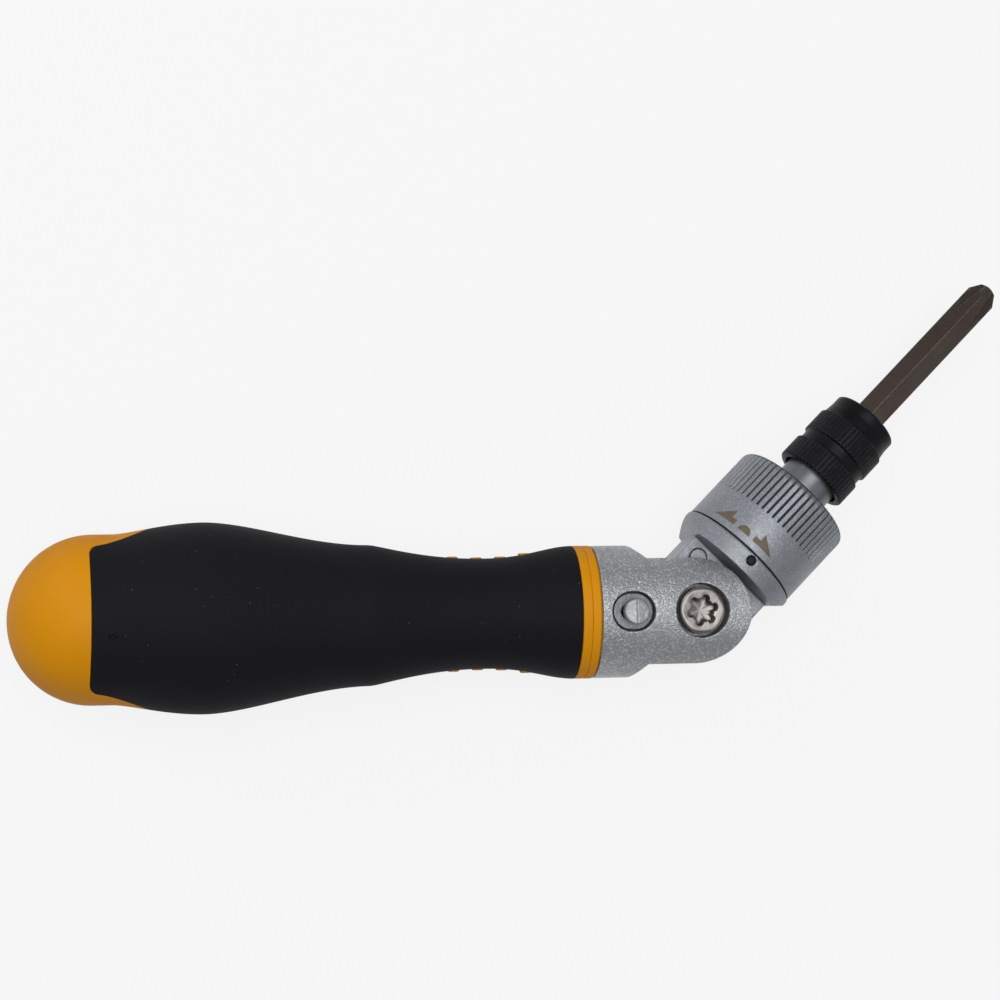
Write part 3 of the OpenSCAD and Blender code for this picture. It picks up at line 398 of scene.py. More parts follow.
def makeSpecks():  # a few grains of dust or pits, each in its own cell
    inputs = {"Scale": 700.0, "Size": 0.08, "Share": 0.2}
    group, given, out, place = newGroup("dustSpecks", inputs, ["Mask"])
    cells = addNode(group, "ShaderNodeTexVoronoi", Vector=place, Scale=given["Scale"]).outputs
    parts = addNode(group, "ShaderNodeSeparateColor", Color=cells["Color"]).outputs
    picked = addMath(group, "LESS_THAN", parts["Red"], given["Share"])
    reach = addMath(group, "MULTIPLY", given["Size"], parts["Green"])
    near = addMath(group, "LESS_THAN", cells["Distance"], reach)
    group.links.new(addMath(group, "MULTIPLY", picked, near), out["Mask"])
    return group


def makeLines():  # fine tool lines across an axis, as turning or drawing leaves them
    v = effects["lines"]
    inputs = {"Axis": (1.0, 0.0, 0.0), "Scale": 5000.0}
    group, given, out, place = newGroup("toolLines", inputs, ["Height", "Tone"])
    along = group.nodes.new("ShaderNodeVectorMath")
    along.operation = "DOT_PRODUCT"
    group.links.new(place, along.inputs[0])
    group.links.new(given["Axis"], along.inputs[1])
    lines = addNode(group, "ShaderNodeTexNoise", Scale=1.0, Detail=v["detail"])
    lines.noise_dimensions = "1D"
    scaled = addMath(group, "MULTIPLY", along.outputs["Value"], given["Scale"])
    group.links.new(scaled, lines.inputs["W"])
    group.links.new(lines.outputs[0], out["Height"])
    group.links.new(addRange(group, lines.outputs[0], *v["tone"]), out["Tone"])
    return group


grainGroup, handlingGroup, wearAndHighlightGroup = makeGrain(), makeHandling(), makeWearAndHighlight()
specksGroup, linesGroup = makeSpecks(), makeLines()
print("shared effects made")


def placeGroup(tree, group, **values):
    node = tree.nodes.new("ShaderNodeGroup")
    node.node_tree = group
    for label, value in values.items():
        node.inputs[label].default_value = value
    return node.outputs


roughShares = (0.6, 0.4)  # how much of the roughness follows handling and how much the grain


def makeFinish(name, values):
    # a base that drifts between two tones, with grain, and where they are given
    # painted glints, tool lines, rubbed edges with painted edge highlights, specks and painted shade in
    # grooves
    material = bpy.data.materials.new(name)
    material.use_nodes = True
    tree = material.node_tree
    shader = tree.nodes["Principled BSDF"]
    shader.inputs["Specular IOR Level"].default_value = values.get("specular", 0.5)
    shader.inputs["Metallic"].default_value = values.get("metallic", 0.0)

    def times(mask, share):
        return addMath(tree, "MULTIPLY", mask, share)

    def tinted(mask, share, tone):  # the colour so far, with a tone over it where the mask is
        return addMix(tree, times(mask, share), color, hexColor(tone))

    grainColor, grainTone, grainScale = values["grain"]
    grain = placeGroup(tree, grainGroup, Scale=grainScale)
    handling = placeGroup(tree, handlingGroup, Scale=values["handling"])
    base, drift = values["tones"]
    color = addMix(tree, handling["Mask"], hexColor(base), hexColor(drift))
    color = tinted(grain["Tone"], grainTone, grainColor)
    height = grain["Height"]
    # painted glints: random facets painted brighter
    if "paintedGlint" in values:
        paintedGlintColor, share = values["paintedGlint"]
        color = tinted(grain["PaintedGlint"], share, paintedGlintColor)
    if "lines" in values:
        axis, scale, depth, share = values["lines"]
        lines = placeGroup(tree, linesGroup, Axis=axis, Scale=scale)
        height = addMath(tree, "ADD", height, times(lines["Height"], depth))
        color = tinted(lines["Tone"], share, grainColor)
    # rubbed edges, together with painted highlights along convex edges
    if "wearAndHighlight" in values:
        wearAndHighlightColor, start, full, share = values["wearAndHighlight"]
        wearAndHighlight = placeGroup(tree, wearAndHighlightGroup, Start=start, Full=full)
        color = tinted(wearAndHighlight["Mask"], share, wearAndHighlightColor)
    if "specks" in values:
        speckColor, scale, size, share = values["specks"]
        specks = placeGroup(tree, specksGroup, Scale=scale, Size=size, Share=share)
        color = addMix(tree, specks["Mask"], color, hexColor(speckColor))
    # painted shade: the colour darkens toward the groove colour where the mesh's shade attribute is, in flute
    # grooves and on the ring's front rounding
    if "groove" in values:
        groove = tree.nodes.new("ShaderNodeAttribute")
        groove.attribute_name = "shade"
        color = addMix(tree, groove.outputs["Fac"], color, hexColor(values["groove"]))
    cloudy, grainy = times(handling["Mask"], roughShares[0]), times(grain["Tone"], roughShares[1])
    rough = addRange(tree, addMath(tree, "ADD", cloudy, grainy), 0.0, 1.0, *values["roughness"])
    strength, depth = values["bump"]
    bump = addNode(tree, "ShaderNodeBump", Strength=strength, Distance=depth * mm, Height=height)
    tree.links.new(color, shader.inputs["Base Color"])
    tree.links.new(rough, shader.inputs["Roughness"])
    tree.links.new(bump.outputs["Normal"], shader.inputs["Normal"])
    return material


# Finishes: two tones, grain (colour, share, scale), handling (scale), roughness (low, high),
# bump (strength, depth), painted glint (colour, share), wear and painted edge highlight (colour, start, full,
# share), specks (colour, scale, size, share), lines (axis, scale, depth, share) and the painted shade's
# colour for grooves

yellowPlastic = makeFinish("yellowPlastic", {
    "tones": ("cd8700", "c68000"), "grain": ("d18c0c", 0.25, 2600.0), "handling": 60.0,
    "roughness": (0.5, 0.64), "specular": 0.14, "bump": (0.25, 0.03),
    "specks": ("8a5a10", 260.0, 0.035, 0.12), "wearAndHighlight": ("dfa93a", 0.53, 0.62, 0.35)})
dullYellow = makeFinish("dullYellow", {
    "tones": ("b07e26", "a37422"), "grain": ("bd8d38", 0.35, 2600.0), "handling": 400.0,
    "roughness": (0.55, 0.7), "specular": 0.14, "bump": (0.3, 0.03)})
blackRubber = makeFinish("blackRubber", {
    "tones": ("0f0e13", "131217"), "grain": ("18171c", 0.5, 2200.0), "handling": 45.0,
    "roughness": (0.66, 0.8), "specular": 0.12, "bump": (0.35, 0.04),
    "specks": ("4c4b53", 700.0, 0.09, 0.35), "wearAndHighlight": ("1c1b20", 0.53, 0.62, 0.4)})
# castZinc: its spark tone is painted glints, and its wear tone is rubbed edges with painted edge highlights
castZinc = makeFinish("castZinc", {
    "tones": ("8e9093", "86888b"), "grain": ("a6a8aa", 0.5, 3000.0), "handling": 140.0,
    "roughness": (0.34, 0.5), "metallic": 0.6, "bump": (1.0, 0.13),
    "paintedGlint": ("f0f1f2", 0.34), "wearAndHighlight": ("d0d2d4", 0.53, 0.64, 0.5)})
# fineZinc: its groove colour is painted shade in the ring's flutes and on its front rounding, its spark tone
# is painted glints, and its wear tone is rubbed edges with painted edge highlights
fineZinc = makeFinish("fineZinc", {
    "tones": ("7d8086", "75787e"), "grain": ("92959b", 0.4, 4200.0), "handling": 120.0,
    "roughness": (0.34, 0.5), "metallic": 0.65, "bump": (0.8, 0.07),
    "paintedGlint": ("d2d5da", 0.2), "groove": "2b2e33", "wearAndHighlight": ("d4d6d9", 0.53, 0.64, 0.5)})
screwSteel = makeFinish("screwSteel", {
    "tones": ("807b79", "726e6c"), "grain": ("95908d", 0.35, 1800.0), "handling": 300.0,
    "roughness": (0.28, 0.44), "metallic": 0.9, "bump": (0.3, 0.03),
    "wearAndHighlight": ("e2dedb", 0.52, 0.62, 0.6), "specks": ("4a4440", 900.0, 0.1, 0.08)})
# buttonSteel: its spark tone is painted glints, and its wear tone is rubbed edges with painted edge
# highlights
buttonSteel = makeFinish("buttonSteel", {
    "tones": ("86888a", "7c7e80"), "grain": ("a2a4a6", 0.5, 1900.0), "handling": 260.0,
    "roughness": (0.4, 0.56), "metallic": 0.6, "bump": (0.7, 0.06),
    "paintedGlint": ("e4e6e8", 0.2), "wearAndHighlight": ("dcdee0", 0.52, 0.62, 0.6)})
# plateZinc: its spark tone is painted glints, and its wear tone is rubbed edges with painted edge highlights
plateZinc = makeFinish("plateZinc", {
    "tones": ("64666a", "5c5e62"), "grain": ("787a7e", 0.4, 3600.0), "handling": 260.0,
    "roughness": (0.36, 0.52), "metallic": 0.65, "bump": (0.8, 0.07),
    "paintedGlint": ("b4b6ba", 0.2), "wearAndHighlight": ("c4c6c9", 0.53, 0.64, 0.5)})
spindleSteel = makeFinish("spindleSteel", {
    "tones": ("676b70", "5e6267"), "grain": ("7f8388", 0.25, 3400.0), "handling": 160.0,
    "roughness": (0.34, 0.48), "metallic": 0.8, "bump": (0.25, 0.02),
    "lines": (tuple(headAxis), 9000.0, 0.8, 0.25)})
darkSteel = makeFinish("darkSteel", {
    "tones": ("33363a", "2a2d31"), "grain": ("45484d", 0.3, 2400.0), "handling": 200.0,
    "roughness": (0.38, 0.55), "metallic": 0.8, "bump": (0.3, 0.03),
    "wearAndHighlight": ("77787d", 0.53, 0.62, 0.4)})
springSteel = makeFinish("springSteel", {
    "tones": ("b0b3b7", "a2a5a9"), "grain": ("c6c9cd", 0.3, 2600.0), "handling": 300.0,
    "roughness": (0.22, 0.36), "metallic": 1.0, "bump": (0.2, 0.02)})
washerBrass = makeFinish("washerBrass", {
    "tones": ("b88f4a", "a67f3e"), "grain": ("cba45e", 0.3, 2400.0), "handling": 200.0,
    "roughness": (0.3, 0.48), "metallic": 1.0, "bump": (0.2, 0.02)})
dotBlack = makeFinish("dotBlack", {
    "tones": ("17171b", "121216"), "grain": ("222227", 0.4, 3000.0), "handling": 600.0,
    "roughness": (0.5, 0.65), "specular": 0.2, "bump": (0.3, 0.02)})
markBrown = makeFinish("markBrown", {
    "tones": ("5f5347", "52483d"), "grain": ("776a55", 0.45, 3200.0), "handling": 700.0,
    "roughness": (0.45, 0.65), "specular": 0.3, "bump": (0.5, 0.04)})
# chuckBlack: its wear tone is a painted highlight along the ribs' edges
chuckBlack = makeFinish("chuckBlack", {
    "tones": ("09080d", "0c0b10"), "grain": ("121117", 0.35, 3000.0), "handling": 220.0,
    "roughness": (0.34, 0.48), "specular": 0.14, "bump": (0.25, 0.02),
    "wearAndHighlight": ("5e5d67", 0.515, 0.58, 0.55), "specks": ("5a5960", 900.0, 0.06, 0.05)})
# bitBronze: its wear tone is a painted highlight along the hexagon's corners
bitBronze = makeFinish("bitBronze", {
    "tones": ("4e443e", "453b37"), "grain": ("5d524b", 0.35, 2200.0), "handling": 150.0,
    "roughness": (0.32, 0.46), "metallic": 0.85, "bump": (0.35, 0.03),
    "wearAndHighlight": ("84776d", 0.505, 0.56, 0.75), "lines": (tuple(headSide), 7000.0, 0.5, 0.3)})
print("finishes made")


# Handle: the outline swells and falls between stations, and the grip's border cuts across it

handle = {
    "domeRadius": 16.4, "domeLong": 16.0, "domeArc": 1.3, "neck": 20.0,
    "stations": [(37.3, 18.55, 0.75), (69.3, 13.8, 0.9),  # place, radius and how the swell eases in
                 (91.1, 10.9, 0.62), (109.5, 13.2, 1.35)],
    "gripThick": 2.0, "gripRear": 16.3, "gripBow": 0.8, "rearHalf": 12.6, "cornerRadius": 1.5,
    "wingTip": 29.1, "wingCurve": 1.3, "seam": 0.1, "edgeRound": 0.16, "ringsFrom": 33.0,
    "boreRadius": 6.05, "boreEnd": 73.0, "flangeEdges": (0.3, 0.22), "borderPoints": 60,
    "columns": 216, "edgeRows": 6, "domeRows": 30, "shoulderRows": (0.06, 1, 16), "wingRows": (0.03, 1, 26),
    "coreRows": (0.15, 0.5, 1), "outerStep": 0.9, "innerStep": 3.0, "flangeStep": 0.8, "frontGap": 0.5,
}
dimple = {"place": 20.74, "turn": math.radians(102.0), "radius": 0.8, "depth": 0.42, "roundness": 0.7,
          "nub": 0.3, "nubOff": 0.1, "nubWidth": 0.22,
          "halfTurn": 0.075, "clearTurn": 0.08, "columns": 23, "halfLong": 0.95, "rows": 20}
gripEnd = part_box("grip_sleeve")[1].x / mm
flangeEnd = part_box("handle_core")[1].x / mm
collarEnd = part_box("front_collar")[1].x / mm
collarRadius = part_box("front_collar")[1].z / mm


def gripRadius(x):
    dome, long = handle["domeRadius"], handle["domeLong"]
    radius = dome * np.sqrt(np.clip(1 - np.clip(1 - x / long, 0, None) ** 2, 0, None))
    fromPlace, fromRadius = handle["neck"], dome
    for place, stationRadius, ease in handle["stations"]:
        t = np.clip((x - fromPlace) / (place - fromPlace), 0, 1) ** ease
        swell = fromRadius + (stationRadius - fromRadius) * t * t * (3 - 2 * t)
        radius = np.where(x > fromPlace, swell, radius)
        fromPlace, fromRadius = place, stationRadius
    return radius


def borderPlaces(turns):  # distance from the apex to the grip's rear border, at each turn round the handle
    t = np.linspace(0, 1, handle["borderPoints"])
    quarter = t * math.pi / 2
    rear, half, corner = handle["gripRear"], handle["rearHalf"], handle["cornerRadius"]
    wingStart, wingFoot, bulge = rear + corner, half + corner, handle["stations"][0][1]
    x = np.concatenate([rear + handle["gripBow"] * (1 - t ** 2), rear + corner * (1 - np.cos(quarter)),
                        wingStart + (handle["wingTip"] - wingStart) * t])
    y = np.concatenate([t * half, half + corner * np.sin(quarter),
                        wingFoot + (bulge - wingFoot) * t ** handle["wingCurve"]])
    ratio = y / gripRadius(x)
    last = int(np.argmax(ratio > 1))  # where the wing's edge meets the outline
    aside = np.append(np.arcsin(ratio[:last]), math.pi / 2)
    return np.interp(np.arcsin(np.abs(np.cos(turns))), aside, x[:last + 1])


def handleTurns():  # columns round the handle, closer together at the dimple
    half = dimple["halfTurn"]
    close = dimple["turn"] + np.linspace(-half, half, dimple["columns"])
    even = evenTurns(handle["columns"])
    return np.sort(np.append(even[np.abs(even - dimple["turn"]) > dimple["clearTurn"]], close))


def dimpleDepth(x, turns):  # the small sunk gate mark on the grip, with a torn nub in it
    v = dimple
    far = np.hypot(x - v["place"], (turns - v["turn"]) * handle["domeRadius"])
    bowl = v["depth"] * np.clip(1 - (far / v["radius"]) ** 2, 0, 1) ** v["roundness"]
    return bowl - v["nub"] * np.exp(-((far - v["nubOff"]) / v["nubWidth"]) ** 2)


def gripSleeve(turns, border, skew):
    # from its inner face over the rounded border, along the outline, round the front and back inside
    v = handle
    thick, edge, first = v["gripThick"], v["edgeRound"], v["ringsFrom"]
    rows = [(gripRadius(border) - thick, border), (gripRadius(border) - thick / 2, border)]
    for a in quarterTurns(v["edgeRows"]):
        x = border + skew * (1 - math.cos(a))
        rows.append((gripRadius(x) - edge * (1 - math.sin(a)), x))
    start = border + skew
    atDimple = np.interp(dimple["turn"], turns, start)
    close = dimple["place"] + np.linspace(-dimple["halfLong"], dimple["halfLong"], dimple["rows"])
    shares = np.append(np.linspace(*v["wingRows"]), (close - atDimple) / (first - atDimple))
    for t in np.sort(shares):
        x = start + (first - start) * t
        rows.append((gripRadius(x), x))
    outside = np.arange(first + v["outerStep"], gripEnd - v["frontGap"], v["outerStep"])
    rows += [(gripRadius(x), x) for x in outside]
    for a in quarterTurns(v["edgeRows"]):
        rows.append((collarRadius - edge * (1 - math.cos(a)), gripEnd - edge * (1 - math.sin(a))))
    rows += [(gripRadius(x) - thick, x) for x in np.arange(gripEnd, first, -v["innerStep"])]
    grid = rowsGrid(rows, turns)
    skin = np.hypot(grid[..., 1], grid[..., 2]) > gripRadius(grid[..., 0]) - edge
    sunk = dimpleDepth(grid[..., 0], turns) * skin
    grid[..., 1] -= sunk * np.cos(turns)
    grid[..., 2] -= sunk * np.sin(turns)
    mesh = gridMesh("gripSleeve", grid, True)
    addPiece("gripSleeve", mesh, handleFrame, "handle", "black_rubber", blackRubber, "grip_sleeve")


def handleCore(turns, border, skew):
    # the dome and its wings, the seam, the part under the grip, the front flange and the tang's bore
    v = handle
    dome, long, gap, edge, first = v["domeRadius"], v["domeLong"], v["seam"], v["edgeRound"], v["ringsFrom"]
    arc = np.linspace(0, v["domeArc"], v["domeRows"])
    rows = [(dome * math.sin(a), long * (1 - math.cos(a))) for a in arc]
    domeStop, edgeStart = long * (1 - math.cos(v["domeArc"])), border - gap - skew
    for t in np.linspace(*v["shoulderRows"]):
        x = domeStop + (edgeStart - domeStop) * t
        rows.append((gripRadius(x), x))
    for a in quarterTurns(v["edgeRows"])[1:]:
        x = border - gap - skew * (1 - math.sin(a))
        rows.append((gripRadius(x) - edge * (1 - math.cos(a)), x))
    under = v["gripThick"] + gap / 2
    rows.append((gripRadius(border) - under, border - gap))
    for t in v["coreRows"]:
        x = border + (first - border) * t
        rows.append((gripRadius(x) - under, x))
    covered = np.arange(first + v["innerStep"], gripEnd - lap, v["innerStep"])
    rows += [(gripRadius(x) - under, x) for x in np.append(covered, gripEnd)]
    bore, boreEnd, (rearEdge, frontEdge) = v["boreRadius"], v["boreEnd"], v["flangeEdges"]
    flange = roundedLine([
        (collarRadius - lap, gripEnd, 0), (collarRadius, gripEnd, rearEdge),
        (collarRadius, flangeEnd, frontEdge), (bore, flangeEnd, 0), (bore, boreEnd, 0), (0, boreEnd, 0)])
    rows += [*spacedLine(flange[:-2], v["flangeStep"]), *flange[-2:]]
    mesh = gridMesh("handleCore", rowsGrid(rows, turns))
    addPiece("handleCore", mesh, handleFrame, "handle", "yellow_plastic", yellowPlastic, "handle_core")


def handlePieces():
    turns = handleTurns()
    border = borderPlaces(turns)
    slope = np.gradient(border, turns) / gripRadius(border)
    skew = handle["edgeRound"] * np.sqrt(1 + slope ** 2)  # as wide a rounding where the border runs aslant
    gripSleeve(turns, border, skew)
    handleCore(turns, border, skew)


pips = {"count": 4, "diameter": 2.4, "first": 85.6, "pitch": 4.8, "rise": 0.22, "root": 2.0, "edge": 0.35,
        "columns": 48, "rowStep": 0.3}


def gripPips():
    v = pips
    radius, studs = v["diameter"] / 2, []
    for i in range(v["count"]):
        place = v["first"] + i * v["pitch"]
        top = float(gripRadius(np.array(place))) + v["rise"]
        corners = rodCorners(radius, top - v["root"], top, v["edge"])
        for side in (1, -1):
            stud = latheMesh("stud", corners, columns=v["columns"], step=v["rowStep"])
            stud.transform(Matrix.Translation((place, 0, 0)) @ Matrix.Rotation(side * math.pi / 2, 4, "Z"))
            studs.append(stud)
    mesh = joinedMesh("gripPips", studs)
    addPiece("gripPips", mesh, handleFrame, "handle", "yellow_plastic", dullYellow, "handle_core")


collar = {"edges": (0.2, 0.15), "ringIn": (0.5, 0.95), "ringRise": 0.28, "columns": 220, "rowStep": 0.5}


def frontCollar():
    bore, outer, (rearEdge, frontEdge) = handle["boreRadius"], collarRadius, collar["edges"]
    wide, narrow = (outer - inset for inset in collar["ringIn"])  # the low ring on its front face
    ringTop = collarEnd + collar["ringRise"]
    mesh = latheMesh("frontCollar", [
        (bore, flangeEnd, 0), (outer, flangeEnd, rearEdge), (outer, collarEnd, frontEdge),
        (wide, collarEnd, 0), (wide, ringTop, 0), (narrow, ringTop, 0), (narrow, collarEnd, 0),
        (bore, collarEnd, 0)],
        closed=True, columns=collar["columns"], step=collar["rowStep"])
    addPiece("frontCollar", mesh, handleFrame, "handle", "yellow_plastic", yellowPlastic, "front_collar")


handlePieces()
gripPips()
frontCollar()
print("handle made")


# Yoke: a turned collar cut to two cheeks, then softened as a casting, and the plate under the lock button

yokeShape = {
    "radius": 13.15, "rearEdge": 0.25, "cheek": 10.4, "cheekBack": 0.6, "step": 0.5, "slotHalf": 5.25,
    "web": 10.1, "groove": (0.3, 1.0), "tang": (6.0, 73.0), "bore": 7.1, "counterbore": (10.6, 9.0),
    "recess": (9.4, 17.9, 7.7, 9.5),  # front, back, width, floor
    "stemSlot": (11.3, 15.85, 2.7),  # front, back, width
    "boltHalf": (3.35, 3.95), "boltEnd": 18.6, "springHole": 1.95, "springGap": 0.1,
    "columns": 256, "cheekPoints": 90,
}
plate = {"gap": 0.32, "top": 12.1, "sunk": 0.2, "slotBack": 0.15}


def yokePiece():
    v = yokeShape
    radius, cheek, px = v["radius"], v["cheek"], pivot.x
    rear, reach, front = collarEnd + v["groove"][0], v["radius"] + lap, px + cheek + lap
    outline = [(rear, -reach), (px + v["step"] - reach, -reach), (px + v["step"] - cheek, -cheek)]
    outline += arcPoints(px - v["cheekBack"], 0, cheek, -math.pi / 2, math.pi / 2, v["cheekPoints"])
    outline += [(px + v["step"] - cheek, cheek), (px + v["step"] - reach, reach), (rear, reach)]
    corners = [(0, rear, 0), (radius, rear, v["rearEdge"]), (radius, front, 0), (0, front, 0)]
    barrel = latheMesh("barrel", corners, columns=v["columns"], step=oneStep)
    body = combinedMesh(barrel, [slabMesh("profile", outline, -reach, reach)], "INTERSECT")
    neck = rodMesh("neck", radius - v["groove"][1], collarEnd, rear + lap / 2, columns=v["columns"])
    body = combinedMesh(body, [neck, rodMesh("tang", v["tang"][0], v["tang"][1], rear + lap)], "UNION")
    across, floor = v["counterbore"]
    front, back, width, recessFloor = v["recess"]
    stemFront, stemBack, stemWidth = v["stemSlot"]
    at = Matrix.Translation(pivot) @ upright
    boltY, boltZ = v["boltHalf"]
    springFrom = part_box("lock_spring")[0].x / mm - v["springGap"]
    cuts = [
        boxMesh("slot", (px - v["web"], -reach, -v["slotHalf"]), (px + reach, reach, v["slotHalf"])),
        rodMesh("pivotBore", v["bore"] / 2, -reach, reach, at),
        rodMesh("nearSeat", across / 2, floor, reach, at),
        rodMesh("farSeat", across / 2, -reach, -floor, at),
        oblongMesh("recess", px - front, px - back, width, recessFloor, reach),
        oblongMesh("stemSlot", px - stemFront, px - stemBack, stemWidth, 0, reach),
        boxMesh("boltChannel", (px - v["boltEnd"], -boltY, -boltZ), (px - v["web"] + lap, boltY, boltZ)),
        rodMesh("springHole", v["springHole"], springFrom, px - v["boltEnd"] + lap),
    ]
    body = castMesh("yoke", combinedMesh(body, cuts, "DIFFERENCE"))
    addPiece("yoke", body, handleFrame, "handle", "cast_zinc", castZinc, "yoke")


def lockPlate():  # the plate that the button slides on, with a dark gap round it
    front, back, width, floor = yokeShape["recess"]
    stemFront, stemBack, stemWidth = yokeShape["stemSlot"]
    gap, px, reach = plate["gap"], pivot.x, yokeShape["radius"] + lap
    front, back, foot = px - front - gap, px - back + gap, floor - plate["sunk"]
    block = oblongMesh("lockPlate", front, back, width - 2 * gap, foot, plate["top"])
    slot = oblongMesh("plateSlot", px - stemFront, px - stemBack - plate["slotBack"], stemWidth, 0, reach)
    mesh = castMesh("lockPlate", combinedMesh(block, [slot], "DIFFERENCE"))
    addPiece("lockPlate", mesh, handleFrame, "handle", "cast_zinc", plateZinc)


yokePiece()
lockPlate()
print("yoke made")


# Pivot screw and nut: a soft scalloped rim, a six-lobe recess and its dished floor

screwHead = {
    "radius": 4.6, "seat": 9.0, "seatEdge": 0.1, "top": 12.9, "rim": 0.75, "rimDrop": 0.8, "scallop": 0.1,
    "lobes": 6, "lobeSpan": 6.1, "lobeShare": 0.125, "lobeTurn": 14.0, "valley": 0.97, "columns": 288,
    "depth": 2.6, "dish": 0.25, "mouth": 0.16, "mouthDrop": 0.06,
    "mouthRows": [(0.07, 0.1), (0.0, 0.22)],  # how far outside the lobes and below the top
    "rimRows": 9, "flatRows": (0.25, 0.5, 0.75, 1.0), "wallTaper": (0.995, 0.985, 0.9),
    "dishRows": (0.6, 0.3, 0.0),
    "barrel": 3.5, "barrelShort": 0.3, "shank": 2.0, "nutTop": 12.0, "shankEnd": 5.0,
}


def lobeRadius(turn):
    v = screwHead
    lobe = v["lobeSpan"] * v["lobeShare"]
    centre = v["lobeSpan"] / 2 - lobe
    pitch = 2 * math.pi / v["lobes"]
    off = (turn - math.radians(v["lobeTurn"]) + pitch / 2) % pitch - pitch / 2
    inside = np.clip(lobe ** 2 - (centre * np.sin(off)) ** 2, 0, None)
    return np.maximum(centre * v["valley"], centre * np.cos(off) + np.sqrt(inside) * (inside > 0))


def lobedHead(name, top, shaftRadius, shaftEnd):
    v = screwHead
    radius, seat, lip, rim = v["radius"], v["seat"], v["seatEdge"], v["rim"]
    turns = evenTurns(v["columns"])
    lobes = lobeRadius(turns)
    wave = v["scallop"] * np.cos(v["lobes"] * turns)
    rows = [(0.0, shaftEnd), (shaftRadius, shaftEnd), (shaftRadius, seat),
            (radius - lip, seat), (radius, seat + lip)]
    for a in quarterTurns(v["rimRows"]):
        height = top - rim * v["rimDrop"] * (1 - math.sin(a))
        rows.append((radius - rim * (1 - math.cos(a)) + wave * math.sin(a) ** 2, height))
    inner, outer = lobes + v["mouth"], radius - rim + wave
    rows += [(outer + (inner - outer) * t, top - v["mouthDrop"] * t) for t in v["flatRows"]]
    rows += [(lobes + wider, top - drop) for wider, drop in v["mouthRows"]]
    floor = top - v["depth"]
    half, low, foot = (lobes * share for share in v["wallTaper"])
    rows += [(half, top - v["depth"] / 2), (low, floor + v["dish"]), (foot, floor)]
    rows += [(lobes * t, floor - v["dish"] * (1 - t)) for t in v["dishRows"]]
    return gridMesh(name, rowsGrid(rows, turns))


def pivotPieces():
    v = screwHead
    near = Matrix.Translation(pivot) @ upright
    far = near @ Matrix.Rotation(math.pi, 4, "Y")
    screw = lobedHead("pivotScrew", v["top"], v["shank"], -v["shankEnd"])
    addPiece("pivotScrew", screw, near, "handle", "screw_steel", screwSteel, "pivot_screw")
    nut = lobedHead("pivotNut", v["nutTop"], v["barrel"], -v["seat"] + v["barrelShort"])
    addPiece("pivotNut", nut, far, "handle", "screw_steel", screwSteel, "pivot_nut")


pivotPieces()
print("pivot made")


# Lock button: a drum with a roof-shaped face whose ridge lies across the handle

button = {"radius": 2.45, "back": 13.3, "foot": 12.25, "footEdge": 0.1, "top": 14.5, "slope": 1 / 9,
          "edge": 0.3, "ridgeDepth": 0.12, "ridgeWidth": 0.14, "stem": 1.2, "stemFoot": -1.8,
          "columns": 192, "edgeRows": 6, "faceRows": (0.3, 18), "middleRows": (0.15, 0.0)}


def lockButton():
    v = button
    radius, edge, foot, lip = v["radius"], v["edge"], v["foot"], v["footEdge"]
    turns = evenTurns(v["columns"])

    def roof(r):  # the height of the face, with a fine groove along its ridge
        x = r * np.cos(turns)
        return v["top"] - v["slope"] * np.abs(x) - v["ridgeDepth"] * np.exp(-(x / v["ridgeWidth"]) ** 2)

    rows = [(0.0, v["stemFoot"]), (v["stem"], v["stemFoot"]), (v["stem"], foot),
            (radius - lip, foot), (radius, foot + lip)]
    for a in quarterTurns(v["edgeRows"]):
        r = radius - edge * (1 - math.cos(a))
        rows.append((r, roof(r) - edge * (1 - math.sin(a))))
    face = np.append(np.linspace(radius - edge, *v["faceRows"])[1:], v["middleRows"])
    rows += [(r, roof(r)) for r in face]
    place = Matrix.Translation((pivot.x - v["back"], 0, 0)) @ upright
    mesh = gridMesh("lockButton", rowsGrid(rows, turns))
    addPiece("lockButton", mesh, place, "lock_slider", "screw_steel", buttonSteel, "lock_button")


lockButton()
print("lock button made")


# Head: the tongue between the cheeks, the bevelled round base and the hub inside the ring

headShape = {
    "tongue": 9.8, "tongueHalf": 5.0, "base": 13.3, "baseRear": 11.0, "bevel": 0.85, "hub": 11.2,
    "bore": 7.1, "chamber": 7.0, "seamBack": 0.15, "seamOpen": 0.12, "seamEdge": 0.12,
    "notches": 4, "notchPitch": 22.5, "notch": (0.8, 2.6, 1.9), "notchFlare": 0.4,  # depth, mouth, foot
    "tonguePoints": 120, "columns": 256, "hubColumns": 200,
}
ejector = {"along": 8.3, "aside": 6.5, "radius": 1.8, "depth": 0.6, "gap": 0.2, "root": 0.1, "sunk": 0.02,
           "edge": 0.06, "columns": 96, "rowStep": 0.25}
indexDot = {"turn": math.radians(90.8), "back": 1.4, "radius": 1.0, "depth": 1.6, "gap": 0.22,
            "rimSunk": 0.12, "sunk": 0.05, "edge": 0.2, "columns": 64, "rowStep": 0.15}
seam = headSpan("selector_ring")[0] - headShape["seamBack"]  # where the base ends and the ring begins
outOfBase = Matrix.Rotation(indexDot["turn"], 4, "X") @ Matrix.Rotation(math.pi / 2, 4, "Z")
indexShift = Matrix.Translation((seam - indexDot["back"], 0, 0))
ejectorShift = Matrix.Translation((ejector["along"], ejector["aside"], 0))


